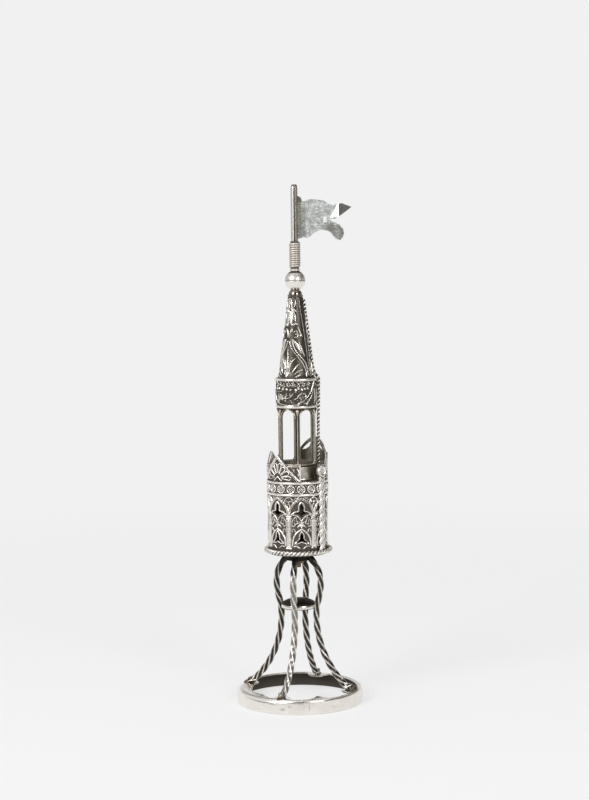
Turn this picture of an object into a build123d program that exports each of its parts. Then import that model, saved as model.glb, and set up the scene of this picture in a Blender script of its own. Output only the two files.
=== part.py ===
import math
import os

from build123d import *

# Foot: base ring, four twisted legs, domed waist collar and the plate under the box
base_radius = 24.4
base_height = 5.5
base_sheet = 0.7
base_rim_width = 1.9
base_edge_round = 0.6
pad_radius = 4.0
pad_centre = base_radius - 3.0
leg_width = 2.2
leg_thickness = 1.3
leg_pitch = 7.2
leg_step = 1.0
leg_angles = {"leg_right": -20.0, "leg_back": 70.0, "leg_left": 160.0, "leg_front": 250.0}
leg_slope = 49.0
leg_toe_bend = 3.5
leg_toe = 0.9
waist_radius = 7.2
waist_height = 33.7
bulge_radius = 9.1
bulge_height = 46.5
leg_top_bend = 13.0
leg_top_turn = 40.0
bead_radius = 1.15
collar_radius = 6.8
collar_height = 1.5
collar_rise = 2.3
collar_bottom = 36.45
plate_radius = 4.8
plate_thickness = 2.8
stud_radius = 1.05
stud_head_radius = 2.1
stud_head_height = 0.8
stud_tail = 3.0
nut_flats = 3.9
nut_height = 1.3
bore_gap = 0.05

# Spice box: floor, pierced wall, rope rim, rosette band, gallery and seam trim
box_radius = 11.4
sheet = 0.55
floor_bottom = 58.2
floor_thickness = 0.7
wall_height = 28.3
rope_wire = 0.95
solder_gap = 0.02
relief = 0.5
bay_count = 7
bay_pitch = 50.0
bay_first = 7.2
column_radius = 0.8
column_foot = 2.3
column_height = 12.7
capital_height = 1.3
capital_radius = 1.15
arch_half_width = 4.5
arch_rise = 6.8
arch_rib = 0.7
upper_star_height = 5.0
lower_arch_half_width = 3.45
lower_arch_foot = 3.6
lower_arch_rise = 6.3
lower_star_height = 3.9
lower_star_foot = 1.0
rosette_count = 18
rosette_first = 7.0
rosette_petal = 0.62
rosette_reach = 0.85
rosette_eye = 0.6
rosette_low = 23.0
rosette_high = 27.5
border_wire = 0.5
band_sheet = 0.15
gallery_height = 6.0
gallery_start = 6.5
gallery_end = 46.0
gable_angles = [-40.0, -118.0, 92.0]
gable_rise = 4.1
gable_half_width = 7.0
gable_rib = 0.75
petal_count = 7
rear_angle = 141.5
rear_half_width = 9.4
rear_rise = 9.4
rear_bow = 1.3
rear_hole = 1.05
rear_hole_at = 3.8
rear_hole_height = 4.8
seam_angle = 50.0
seam_width = 3.4
seam_depth = 1.5
button_radius = 2.3
button_depth = 1.6
button_drop = 2.6

# Tower: lid, lantern, frieze drum, spire and finial
lid_gap = 0.35
seat_width = 1.25
seat_height = 0.8
seat_drop = 1.0
lid_thickness = 0.8
plug_depth = 13.0
plug_sheet = 0.55
lantern_radius = 7.5
lantern_sheet = 0.6
lantern_height = 27.7
window_count = 8
window_width = 4.4
window_turn = 5.0
window_sill = 6.2
window_height = 20.8
shaft_radius = 0.4
ring_height = 1.0
ring_lip = 0.15
drum_height = 9.4
drum_low_radius = 7.85
drum_high_radius = 8.2
spire_foot_radius = 7.5
spire_bend_radius = 6.3
spire_bend_height = 3.5
spire_height = 31.1
spire_top_radius = 2.9
wire_radius = 0.6
wire_angle = 82.0
cap_radius = 3.0
cap_rim = 0.7
cap_shoulder = 2.65
cap_top_radius = 1.75
cap_height = 2.5
ball_radius = 3.92
ball_sheet = 0.5
ball_sink = 0.25
neck_radius = 1.9
neck_height = 0.8
spindle_radius = 0.8
spindle_tail = 2.2
core_radius = 1.65
coil_wire = 0.27
coil_pitch = 0.95
coil_turns = 10
coil_gap = 0.03

# Flag on its sleeve
sleeve_radius = 1.25
sleeve_gap = 0.05
sleeve_length = 20.73
head_radius = 1.15
head_height = 0.75
flag_sheet = 0.45
flag_reach = 22.0
flag_height = 16.15
flag_lift = 0.1

floor_top = floor_bottom + floor_thickness
wall_top = floor_top + wall_height
gallery_top = wall_top + gallery_height
plate_bottom = floor_bottom - plate_thickness
seat_top = wall_top - seat_drop
lantern_bottom = seat_top + lid_thickness
lantern_top = lantern_bottom + lantern_height
drum_bottom = lantern_top + ring_height
drum_top = drum_bottom + drum_height
spire_bottom = drum_top + ring_height
spire_top = spire_bottom + spire_height
cap_top = spire_top + cap_height
ball_centre = cap_top - ball_sink + ball_radius
neck_bottom = ball_centre + ball_radius - ball_sink
core_bottom = neck_bottom + neck_height
core_top = core_bottom + coil_pitch * coil_turns + 4 * coil_wire
sleeve_bottom = core_top + sleeve_gap
sleeve_top = sleeve_bottom + sleeve_length
spindle_top = sleeve_top + sleeve_gap

pieces = {}


def disc(radius, bottom, height):
    return Pos(0, 0, bottom) * Cylinder(radius, height, align=(Align.CENTER, Align.CENTER, Align.MIN))


def tube(outer, inner, bottom, height):
    return disc(outer, bottom, height) - disc(inner, bottom, height)


def facing(angle, height=0.0):
    a = math.radians(angle)
    right = (math.cos(a), math.sin(a), 0)
    out = (math.sin(a), -math.cos(a), 0)
    return Plane(origin=(0, 0, height), x_dir=right, z_dir=out)


def punched(sketch, angle, height, reach):
    return extrude(facing(angle, height) * sketch, reach)


def turned(points):
    return revolve(Plane.XZ * make_face(Polyline(*points, close=True)), Axis.Z)


def pointed(half_width, rise):
    radius = (half_width ** 2 + rise ** 2) / (2 * half_width)
    bow = radius - math.sqrt(radius ** 2 - (half_width ** 2 + rise ** 2) / 4)
    length = math.hypot(half_width, rise)
    mid_x = half_width / 2 + bow * rise / length
    mid_y = rise / 2 + bow * half_width / length
    left = ThreePointArc((-half_width, 0), (-mid_x, mid_y), (0, rise))
    right = ThreePointArc((0, rise), (mid_x, mid_y), (half_width, 0))
    foot = Line((half_width, 0), (-half_width, 0))
    return make_face([left, right, foot])


def star(arcs, height):
    edges = []
    for arc in arcs:
        for side in (-1, 1):
            edges.append(ThreePointArc(*[(side * x * height, y * height) for x, y in arc]))
    return make_face(edges)


def sector(start, end, radius, bottom, height):
    span = (end - start) % 360
    arc = [start + span * i / 6 for i in range(7)]
    edge = [(2 * radius * math.sin(math.radians(a)), -2 * radius * math.cos(math.radians(a))) for a in arc]
    return Pos(0, 0, bottom) * extrude(make_face(Polyline((0, 0), *edge, close=True)), height)


# Base ring with a narrow rim that widens into a pad under each foot
rim = Circle(base_radius) - Circle(base_radius - base_rim_width)
for angle in leg_angles.values():
    a = math.radians(angle)
    rim = rim + Pos(pad_centre * math.cos(a), pad_centre * math.sin(a)) * Circle(pad_radius)
rim = rim & Circle(base_radius)
skirt = tube(base_radius, base_radius - base_sheet, 0, base_height)
ring = skirt + Pos(0, 0, base_height - base_sheet) * extrude(rim, base_sheet)
outer_edge = ring.edges().filter_by(GeomType.CIRCLE)
outer_edge = outer_edge.filter_by(lambda e: abs(e.radius - base_radius) < 0.01 and e.center().Z > base_height - 0.01)
pieces["base_ring"] = fillet(outer_edge, base_edge_round)

# Leg centre line in the plane of radius and height, from the toe to the plate
leg_reach = math.hypot(leg_width, leg_thickness) / 2
toe_height = base_height + leg_reach + 3 * solder_gap
slope = math.radians(leg_slope)
drop = waist_height - toe_height - leg_toe_bend * (1 - math.sin(slope))
spread = pad_centre - waist_radius - leg_toe_bend * math.cos(slope) - leg_toe
lean = math.sin(slope) ** 2 - math.cos(slope) * (1 - math.cos(slope))
flare_bend = (drop * math.sin(slope) - spread * math.cos(slope)) / lean
flare_run = (spread * math.sin(slope) - drop * (1 - math.cos(slope))) / lean
half_rise = (bulge_height - waist_height) / 2
half_out = (bulge_radius - waist_radius) / 2
swell_bend = (half_rise ** 2 + half_out ** 2) / (2 * half_out)
swell_turn = math.degrees(2 * math.atan(half_out / half_rise))
top_turn = math.radians(leg_top_turn)
top_inner = bulge_radius - leg_top_bend * (1 - math.cos(top_turn))
top_run = (top_inner - plate_radius / 2) / math.sin(top_turn)
leg_path = [
    (leg_toe, 0),
    (leg_toe_bend, leg_slope - 90),
    (flare_run, 0),
    (flare_bend, -leg_slope),
    (swell_bend, -swell_turn),
    (swell_bend, swell_turn),
    (leg_top_bend, leg_top_turn),
    (top_run, 0),
]


def stations(path, start, heading, step):
    x, z = start
    a = math.radians(heading)
    found = [(x, z, a, 0.0)]
    s = 0.0
    for size, turn in path:
        length = size * math.radians(abs(turn)) if turn else size
        n = max(1, math.ceil(length / step))
        d = math.radians(turn) / n
        chord = 2 * size * math.sin(abs(d) / 2) if turn else size / n
        for i in range(n):
            x += math.cos(a + d / 2) * chord
            z += math.sin(a + d / 2) * chord
            a += d
            s += length / n
            found.append((x, z, a, s))
    return found


def twisted_bar(path, start, heading, width, thickness, pitch, step):
    sections = []
    for x, z, a, s in stations(path, start, heading, step):
        plane = Plane(origin=(x, 0, z), x_dir=(0, 1, 0), z_dir=(math.cos(a), 0, math.sin(a)))
        sections.append(plane * Rectangle(width, thickness, rotation=360 * s / pitch))
    return loft(sections, ruled=True)


# Waist collar: a low dome on a plain rim, with the legs soldered round it
dome_radius = (collar_radius ** 2 + collar_rise ** 2) / (2 * collar_rise)
dome = Pos(0, 0, collar_bottom + collar_height + collar_rise - dome_radius) * Sphere(dome_radius)
pieces["waist_collar"] = disc(collar_radius, collar_bottom, collar_height + collar_rise) & dome

bar = twisted_bar(leg_path, (pad_centre, toe_height), 180, leg_width, leg_thickness, leg_pitch, leg_step)
bar = bar - disc(plate_radius, plate_bottom - 2 * plate_thickness, 4 * plate_thickness)
bar = bar - pieces["waist_collar"]
for name, angle in leg_angles.items():
    pieces[name] = Rot(0, 0, angle) * bar

bead_at = pad_centre + bead_radius + solder_gap
bead = Pos(bead_at, 0, base_height) * Sphere(bead_radius) - disc(base_radius, base_height - 2 * bead_radius, 2 * bead_radius)
beads = [Rot(0, 0, angle) * bead for angle in leg_angles.values()]
pieces["foot_beads"] = Compound(children=beads)

hole = stud_radius + bore_gap
pieces["leg_head_plate"] = tube(plate_radius, hole, plate_bottom, plate_thickness)
shank = disc(stud_radius, plate_bottom - stud_tail, floor_top - plate_bottom + stud_tail)
pieces["fixing_stud"] = shank + disc(stud_head_radius, floor_top, stud_head_height)
nut = extrude(RegularPolygon(nut_flats / 2, 6, major_radius=False) - Circle(hole), nut_height)
pieces["fixing_nut"] = Pos(0, 0, plate_bottom - nut_height) * nut

# Box floor, and the wall with columns, pointed arches and pierced tracery
pieces["box_floor"] = tube(box_radius, hole, floor_bottom, floor_thickness)
inner_radius = box_radius - sheet
reach = 2 * box_radius
bays = [bay_first - bay_pitch * i for i in range(bay_count)]
spring = column_foot + column_height
rib_shapes = []
hole_shapes = []
upper_star = [
    ((0.0, 1.0), (0.16, 0.75), (0.15, 0.47)),
    ((0.15, 0.47), (0.32, 0.36), (0.56, 0.31)),
    ((0.56, 0.31), (0.3, 0.25), (0.12, 0.15)),
    ((0.12, 0.15), (0.07, 0.07), (0.0, 0.0)),
]
lower_star = [
    ((0.0, 1.0), (0.16, 0.76), (0.14, 0.52)),
    ((0.14, 0.52), (0.31, 0.27), (0.54, 0.0)),
    ((0.54, 0.0), (0.3, 0.07), (0.0, 0.21)),
]
for angle in bays:
    outer_arch = Pos(0, spring) * pointed(arch_half_width + arch_rib / 2, arch_rise + arch_rib / 2)
    inner_arch = Pos(0, spring) * pointed(arch_half_width - arch_rib / 2, arch_rise - arch_rib)
    low_outer = Pos(0, lower_arch_foot) * pointed(lower_arch_half_width + arch_rib / 2, lower_arch_rise + arch_rib / 2)
    low_inner = Pos(0, lower_arch_foot) * pointed(lower_arch_half_width - arch_rib / 2, lower_arch_rise - arch_rib)
    rib_shapes.append(punched((outer_arch - inner_arch) + (low_outer - low_inner), angle, floor_top, reach))
    upper_hole = Pos(0, spring - arch_rib / 2) * star(upper_star, upper_star_height)
    lower_hole = Pos(0, lower_arch_foot + lower_star_foot) * star(lower_star, lower_star_height)
    hole_shapes.append(punched(upper_hole + lower_hole, angle, floor_top, reach))
relief_shell = tube(box_radius + relief, inner_radius, floor_top, wall_height)
ribs = [shape & relief_shell for shape in rib_shapes]
columns = []
for angle in bays:
    a = math.radians(angle + bay_pitch / 2)
    stand = Pos(box_radius * math.sin(a), -box_radius * math.cos(a), 0)
    columns.append(stand * disc(column_radius, floor_top + column_foot, column_height))
    columns.append(stand * disc(capital_radius, floor_top + spring - capital_height, capital_height))
    columns.append(stand * disc(capital_radius, floor_top + column_foot, capital_height))
wall = tube(box_radius, inner_radius, floor_top, wall_height)
wall = wall.fuse(*ribs, *columns)
wall = wall - disc(inner_radius, floor_top, wall_height)
wall = wall.cut(*hole_shapes)

# Seam strip and button, laid on the wall over the meeting edges of the sheet
strip_bottom = floor_bottom + floor_thickness / 2 + 2 * rope_wire + solder_gap
button_at = gallery_top - button_drop
strip_top = button_at - button_radius
seam = math.radians(seam_angle)
strip_plane = Plane(
    origin=(box_radius * math.sin(seam), -box_radius * math.cos(seam), strip_bottom),
    x_dir=(-math.cos(seam), -math.sin(seam), 0),
    z_dir=(0, 0, 1),
)
strip_arch = ThreePointArc((-seam_width / 2, -sheet), (0, seam_depth), (seam_width / 2, -sheet))
strip_face = make_face([strip_arch, Line((seam_width / 2, -sheet), (-seam_width / 2, -sheet))])
strip = extrude(strip_plane * strip_face, strip_top - strip_bottom)
solid_core = disc(box_radius, floor_bottom, gallery_top - floor_bottom)
button_plane = facing(seam_angle, button_at).offset(box_radius - sheet)
button = extrude(button_plane * Circle(button_radius), sheet + button_depth)
pieces["box_seam_rope"] = strip - solid_core
pieces["seam_button"] = button - solid_core
pieces["box_wall"] = wall - pieces["box_seam_rope"]

rope_centre = box_radius + rope_wire + solder_gap
rope_height = floor_bottom + floor_thickness / 2 + rope_wire
pieces["rope_rim"] = Pos(0, 0, rope_height) * Torus(rope_centre, rope_wire)

# Rosette band between two half-round borders
band_low = floor_top + rosette_low
band_high = floor_top + rosette_high
band = tube(box_radius + band_sheet, box_radius, band_low, band_high - band_low)
borders = [Pos(0, 0, z) * Torus(box_radius + band_sheet, border_wire) for z in (band_low, band_high)]
petals = Circle(rosette_eye)
for turn in (45, 135, 225, 315):
    a = math.radians(turn)
    petals = petals + Pos(rosette_reach * math.cos(a), rosette_reach * math.sin(a)) * Circle(rosette_petal)
band_middle = (band_low + band_high) / 2
rosettes = []
for i in range(rosette_count):
    angle = rosette_first + 360 * i / rosette_count
    rosettes.append(punched(petals, angle, band_middle, reach))
petal_shell = tube(box_radius + band_sheet + relief / 2, box_radius, band_low, band_high - band_low)
band = band.fuse(*borders, *[shape & petal_shell for shape in rosettes])
band = band - solid_core
pieces["rosette_band"] = band - pieces["box_seam_rope"]

# Gallery strip with gables, and the taller gable at the rear
gallery = tube(box_radius, inner_radius, wall_top, gallery_height)
rib_shell = tube(box_radius + relief, inner_radius, wall_top, gallery_height + gable_rise)
sheet_shell = tube(box_radius, inner_radius, gallery_top - sheet, gable_rise + sheet)
full_rise = gallery_height + gable_rise
gable_parts = []
for angle in gable_angles:
    outer = make_face(Polyline((-gable_half_width, 0), (gable_half_width, 0), (0, full_rise), close=True))
    inner_width = gable_half_width - 1.9 * gable_rib
    inner_rise = full_rise * inner_width / gable_half_width
    inner = make_face(Polyline((-inner_width, 0), (inner_width, 0), (0, inner_rise), close=True))
    fan = outer - inner
    for i in range(petal_count):
        turn = 120 * (i / (petal_count - 1) - 0.5)
        blade = Rot(0, 0, turn) * Pos(0, full_rise / 2) * Rectangle(gable_rib, full_rise)
        fan = fan + (blade & (Pos(0, gable_rib) * inner))
    gable_parts.append(punched(outer, angle, wall_top, reach) & sheet_shell)
    gable_parts.append(punched(fan, angle, wall_top, reach) & rib_shell)
gallery = gallery.fuse(*gable_parts)
gallery = gallery - disc(inner_radius, wall_top, 2 * full_rise)
gallery = gallery - sector(gallery_start, gallery_end, box_radius, wall_top, 2 * full_rise)
pieces["gallery"] = gallery - pieces["seam_button"] - pieces["rosette_band"] - pieces["box_seam_rope"]

slope_length = math.hypot(rear_half_width, rear_rise)
slope_mid = (
    rear_half_width / 2 + rear_bow * rear_rise / slope_length,
    rear_rise / 2 + rear_bow * rear_half_width / slope_length,
)
slopes = []
for side in (-1, 1):
    foot = (side * rear_half_width, 0)
    slopes.append(ThreePointArc(foot, (side * slope_mid[0], slope_mid[1]), (0, rear_rise)))
rear = make_face([*slopes, Line((-rear_half_width, 0), (rear_half_width, 0))])
for side in (-1, 1):
    rear = rear - Pos(side * rear_hole_at, rear_hole_height) * Circle(rear_hole)
rear_shell = tube(box_radius, inner_radius, gallery_top, rear_rise)
pieces["rear_gable"] = punched(rear, rear_angle, gallery_top, reach) & rear_shell
pieces["rear_gable"] = pieces["rear_gable"] - pieces["gallery"]

# Lid that lifts out of the box: seat, plate and plug
seat_radius = inner_radius - seat_width
pieces["lid_seat_ring"] = tube(inner_radius, seat_radius, seat_top - seat_height, seat_height)
pieces["lid_plate"] = disc(inner_radius - lid_gap, seat_top, lid_thickness)
plug_radius = seat_radius - lid_gap
pieces["lid_plug"] = tube(plug_radius, plug_radius - plug_sheet, seat_top - plug_depth, plug_depth)

# Lantern with round-headed windows between slender shafts
lantern_inner = lantern_radius - lantern_sheet
lantern = tube(lantern_radius, lantern_inner, lantern_bottom, lantern_height)
sill = lantern_bottom + window_sill
head_radius_window = window_width / 2
light_height = window_height - head_radius_window
light = Pos(0, light_height / 2) * Rectangle(window_width, light_height)
light = light + Pos(0, light_height) * Circle(head_radius_window)
shafts = []
lights = []
for i in range(window_count):
    angle = window_turn + 360 * i / window_count
    a = math.radians(angle)
    stand = Pos(lantern_radius * math.sin(a), -lantern_radius * math.cos(a), 0)
    shafts.append(stand * disc(shaft_radius, sill, light_height))
    lights.append(punched(light, angle + 180 / window_count, sill, reach))
lantern = lantern.fuse(*shafts)
lantern = lantern - disc(lantern_inner, lantern_bottom, lantern_height)
pieces["lantern"] = lantern.cut(*lights)

# Frieze drum between two rounded rings
def rounded_ring(outer, inner, bottom, height):
    ring_solid = tube(outer, inner, bottom, height)
    edges = ring_solid.edges().filter_by(GeomType.CIRCLE).filter_by(lambda e: abs(e.radius - outer) < 0.001)
    return fillet(edges, 0.4 * height)


drum_inner = drum_low_radius - sheet
pieces["drum_lower_ring"] = rounded_ring(drum_low_radius + ring_lip, lantern_inner, lantern_top, ring_height)
pieces["frieze_drum"] = turned(
    [
        (drum_low_radius, drum_bottom),
        (drum_high_radius, drum_top),
        (drum_high_radius - sheet, drum_top),
        (drum_inner, drum_bottom),
    ]
)
spire_inner = spire_foot_radius - sheet
pieces["drum_upper_ring"] = rounded_ring(drum_high_radius + ring_lip, spire_inner, drum_top, ring_height)


# Spire with a flared foot
def spire_curve(inset):
    bend = (spire_bend_radius - inset, spire_bottom + spire_bend_height)
    foot = (spire_foot_radius - inset, spire_bottom)
    tip = (spire_top_radius - inset, spire_top)
    taper = (tip[0] - bend[0], tip[1] - bend[1])
    return Line(tip, bend), TangentArc(bend, foot, tangent=(-taper[0], -taper[1])), tip, foot


outer_line, outer_flare, outer_tip, outer_foot = spire_curve(0)
inner_line, inner_flare, inner_tip, inner_foot = spire_curve(sheet)
spire_face = make_face(
    [outer_line, outer_flare, Line(outer_foot, inner_foot), inner_flare, inner_line, Line(inner_tip, outer_tip)]
)
pieces["spire"] = revolve(Plane.XZ * spire_face, Axis.Z)

# Seam wire of the tower, from the spire top to the gallery
lie = wire_radius + solder_gap
taper_angle = math.atan2(spire_bend_radius - spire_top_radius, spire_height - spire_bend_height)
lean_out = lie / math.cos(taper_angle)
ring_out = drum_high_radius + ring_lip + lie
wire_points = [
    (spire_top_radius + lean_out, spire_top - cap_rim),
    (spire_bend_radius + lean_out, spire_bottom + spire_bend_height),
    (ring_out, spire_bottom),
    (drum_low_radius + ring_lip + lie, lantern_top),
    (lantern_radius + shaft_radius + lie, lantern_top - 3 * ring_height),
    (lantern_radius + shaft_radius + lie, sill),
]
wire_path = FilletPolyline(*wire_points, radius=2 * wire_radius)
wire_path = Plane.XZ * wire_path
wire_start = Plane(origin=wire_path @ 0, z_dir=wire_path % 0)
seam_wire = Rot(0, 0, wire_angle - 90) * sweep(wire_start * Circle(wire_radius), path=wire_path)
pieces["tower_seam_wire"] = seam_wire - pieces["spire"]

# Finial: cap, ball in two halves, neck, spindle and wound collar
finial_hole = spindle_radius + bore_gap
ball = Pos(0, 0, ball_centre) * Sphere(ball_radius)
cap_line = [
    Line((finial_hole, spire_top), (cap_radius, spire_top)),
    Line((cap_radius, spire_top), (cap_radius, spire_top + cap_rim)),
    Line((cap_radius, spire_top + cap_rim), (cap_shoulder, spire_top + cap_rim)),
    ThreePointArc(
        (cap_shoulder, spire_top + cap_rim),
        (0.93 * cap_shoulder, (spire_top + cap_rim + cap_top) / 2),
        (cap_top_radius, cap_top),
    ),
    Line((cap_top_radius, cap_top), (finial_hole, cap_top)),
    Line((finial_hole, cap_top), (finial_hole, spire_top)),
]
pieces["spire_cap"] = revolve(Plane.XZ * make_face(cap_line), Axis.Z) - ball
shell = ball - Pos(0, 0, ball_centre) * Sphere(ball_radius - ball_sheet)
shell = shell - disc(finial_hole, ball_centre - 2 * ball_radius, 4 * ball_radius)
pieces["ball_lower_half"] = shell & disc(2 * ball_radius, ball_centre - 2 * ball_radius, 2 * ball_radius)
pieces["ball_upper_half"] = shell & disc(2 * ball_radius, ball_centre, 2 * ball_radius)
pieces["neck_ring"] = tube(neck_radius, finial_hole, neck_bottom, neck_height) - ball
spindle_bottom = spire_top - spindle_tail
spindle = disc(spindle_radius, spindle_bottom, spindle_top - spindle_bottom)
pieces["spindle"] = spindle + disc(core_radius, core_bottom, core_top - core_bottom)
cap_disc = disc(head_radius, spindle_top, head_height)
cap_edge = cap_disc.edges().sort_by(Axis.Z)[-1]
pieces["spindle_head"] = fillet(cap_edge, 0.8 * head_height)

# Wound collar: one wire in half turns of two arcs each, with straight ends
coil_radius = core_radius + coil_wire + coil_gap
coil_start = core_bottom + 2 * coil_wire
climb = coil_pitch / (2 * math.pi * coil_radius)


def on_coil(half):
    a = math.pi * half
    point = Vector(coil_radius * math.cos(a), coil_radius * math.sin(a), coil_start + coil_pitch * half / 2)
    return point, Vector(-math.sin(a), math.cos(a), climb).normalized()


def arc_between(start, tangent, end):
    chord = end - start
    along = chord.normalized()
    bow = tangent.cross(along)
    normal = bow.cross(tangent).normalized()
    radius = chord.length ** 2 / (2 * chord.dot(normal))
    centre = start + normal * radius
    middle = (start + end) * 0.5 - centre
    return ThreePointArc(start, centre + middle.normalized() * radius, end)


first, first_way = on_coil(0)
coil_edges = [Line(first - first_way * (2 * coil_wire), first)]
coil_points = []
arc_samples = 8
for half in range(2 * coil_turns):
    p0, t0 = on_coil(half)
    p1, t1 = on_coil(half + 1)
    gap = p1 - p0
    sum_way = t0 + t1
    qa = sum_way.dot(sum_way) - 4
    qb = -2 * gap.dot(sum_way)
    qc = gap.dot(gap)
    reach_arm = (-qb - math.sqrt(qb * qb - 4 * qa * qc)) / (2 * qa)
    if reach_arm < 0:
        reach_arm = (-qb + math.sqrt(qb * qb - 4 * qa * qc)) / (2 * qa)
    joint = ((p0 + t0 * reach_arm) + (p1 - t1 * reach_arm)) * 0.5
    first_arc = arc_between(p0, t0, joint)
    second_arc = arc_between(joint, first_arc % 1, p1)
    coil_edges += [first_arc, second_arc]
    for part in (first_arc, second_arc):
        coil_points += [part @ (i / arc_samples) for i in range(arc_samples)]
last, last_way = on_coil(2 * coil_turns)
coil_edges.append(Line(last, last + last_way * (2 * coil_wire)))
coil_path = Wire(coil_edges)
coil_plane = Plane(origin=coil_path @ 0, z_dir=coil_path % 0)
pieces["coil_collar"] = sweep(coil_plane * Circle(coil_wire), path=coil_path)
least = min(
    (coil_points[i] - coil_points[j]).length
    for i in range(len(coil_points))
    for j in range(i + 3 * arc_samples, len(coil_points))
)
print("coil least gap", round(least - 2 * coil_wire, 3))

# Flag: a waved sheet trimmed to its outline, on a sleeve that turns on the spindle
pieces["flag_sleeve"] = tube(sleeve_radius, spindle_radius + sleeve_gap, sleeve_bottom, sleeve_length)
u = flag_reach / 22.0
v = flag_height / 16.7
flag_points = [
    ((0.0, 16.0), (3.4, 15.5), (5.2, 16.2)),
    ((5.2, 16.2), (8.2, 16.7), (11.2, 15.5)),
    ((11.2, 15.5), (14.2, 14.2), (17.4, 14.6)),
    ((17.4, 14.6), (19.9, 14.3), (22.0, 13.2)),
    ((22.0, 13.2), (18.2, 10.1), (13.3, 8.5)),
    ((13.3, 8.5), (12.6, 8.35), (11.9, 8.25)),
    ((11.9, 8.25), (12.7, 8.15), (13.5, 8.0)),
    ((13.5, 8.0), (17.6, 5.5), (19.2, 2.5)),
    ((19.2, 2.5), (18.6, 0.4), (17.0, 0.0)),
    ((17.0, 0.0), (15.8, 0.8), (14.6, 2.3)),
    ((14.6, 2.3), (11.0, 4.1), (7.3, 2.5)),
    ((7.3, 2.5), (5.9, 1.3), (4.2, 1.0)),
]
flag_edges = []
for trio in flag_points:
    flag_edges.append(ThreePointArc(*[(x * u, z * v) for x, z in trio]))
flag_edges.append(Line((4.2 * u, 1.0 * v), (0, 1.0 * v)))
flag_edges.append(Line((0, 1.0 * v), (0, 16.0 * v)))
flag_face = make_face(flag_edges) - Pos(11.75 * u, 8.25 * v) * Rectangle(1.3 * u, 2.3 * v)
flag_bottom = sleeve_bottom + flag_lift
flag_plane = Plane(origin=(0, flag_reach, flag_bottom), x_dir=(1, 0, 0), z_dir=(0, -1, 0))
flag_prism = extrude(flag_plane * flag_face, 2 * flag_reach)
wave = FilletPolyline(
    (0, 0), (3.6 * u, -0.7 * u), (9.0 * u, 0.2 * u), (14.0 * u, 0.5 * u), (17.5 * u, -0.9 * u), (23.0 * u, 0.7 * u),
    radius=2.5 * u,
)
wave_slab = Pos(0, 0, flag_bottom - 1) * extrude(trace(wave, flag_sheet), flag_height + 2)
blade = flag_prism & wave_slab
pieces["flag_blade"] = blade - disc(sleeve_radius, sleeve_bottom, sleeve_length)

os.makedirs("parts", exist_ok=True)
for name, piece in pieces.items():
    box = piece.bounding_box()
    print(name, round(piece.volume, 2), len(piece.solids()), piece.is_valid, round(box.min.Z, 2), round(box.max.Z, 2))
    export_step(piece, f"parts/{name}.step")
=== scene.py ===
import math

import bmesh
import bpy
import numpy as np
from mathutils import Matrix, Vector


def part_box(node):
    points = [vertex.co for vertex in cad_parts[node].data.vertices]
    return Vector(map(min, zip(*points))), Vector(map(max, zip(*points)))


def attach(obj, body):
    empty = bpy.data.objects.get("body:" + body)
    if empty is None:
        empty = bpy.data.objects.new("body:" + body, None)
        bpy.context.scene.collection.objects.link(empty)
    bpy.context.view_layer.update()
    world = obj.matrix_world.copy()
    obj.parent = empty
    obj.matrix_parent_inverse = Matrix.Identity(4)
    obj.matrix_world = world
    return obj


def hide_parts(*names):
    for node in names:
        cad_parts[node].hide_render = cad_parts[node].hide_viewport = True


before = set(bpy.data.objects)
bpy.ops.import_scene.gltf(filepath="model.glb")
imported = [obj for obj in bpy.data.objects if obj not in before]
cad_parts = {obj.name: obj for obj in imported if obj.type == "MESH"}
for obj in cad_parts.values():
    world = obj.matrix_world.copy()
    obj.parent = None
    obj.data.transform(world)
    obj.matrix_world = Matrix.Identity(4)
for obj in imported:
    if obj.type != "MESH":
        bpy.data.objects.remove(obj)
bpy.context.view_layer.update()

scene = bpy.context.scene
scene.view_settings.view_transform = "Standard"
mm = 0.001
print("frame loaded with", len(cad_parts), "nodes")


def levels(node):  # lowest and highest point of a node, in mm
    low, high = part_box(node)
    return low.z / mm, high.z / mm


def outerRadius(node):  # of a node that is round about the axis, in mm
    low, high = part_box(node)
    return (high.x - low.x) / 2 / mm


def addObject(name, data):
    item = bpy.data.objects.new(name, data)
    scene.collection.objects.link(item)
    return item


# Camera at the photograph's place, in mm and degrees
cameraView = {"focalPixels": 1817.0, "distance": 698.0, "height": 175.0, "pitch": 4.715, "roll": -0.67, "yaw": 0.063}


def setCamera(s):
    sensor = 36.0
    longSide = 800.0
    data = bpy.data.cameras.new("photoCamera")
    data.sensor_width = sensor
    data.lens = s["focalPixels"] / longSide * sensor
    data.clip_start = 0.01
    data.clip_end = 20.0
    camera = addObject("photoCamera", data)
    turn = Matrix.Rotation(math.radians(s["yaw"]), 4, "Z")
    tilt = Matrix.Rotation(math.radians(90.0 - s["pitch"]), 4, "X")
    lean = Matrix.Rotation(math.radians(s["roll"]), 4, "Z")
    place = Matrix.Translation((0.0, -s["distance"] * mm, s["height"] * mm))
    camera.matrix_world = place @ turn @ tilt @ lean
    scene.camera = camera


setCamera(cameraView)
print("camera set")


# Finishes
def addNode(tree, kind, **sockets):
    node = tree.nodes.new(kind)
    for key, value in sockets.items():
        node.inputs[key].default_value = value
    return node


def noiseNode(tree, where, scale, detail=4.0):
    node = addNode(tree, "ShaderNodeTexNoise", Scale=scale, Detail=detail)
    tree.links.new(where, node.inputs["Vector"])
    return node.outputs["Fac"]


def spread(tree, value, low, high, fromLow=0.0, fromHigh=1.0):
    node = tree.nodes.new("ShaderNodeMapRange")
    node.inputs["From Min"].default_value = fromLow
    node.inputs["From Max"].default_value = fromHigh
    node.inputs["To Min"].default_value = low
    node.inputs["To Max"].default_value = high
    tree.links.new(value, node.inputs["Value"])
    return node.outputs["Result"]


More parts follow.
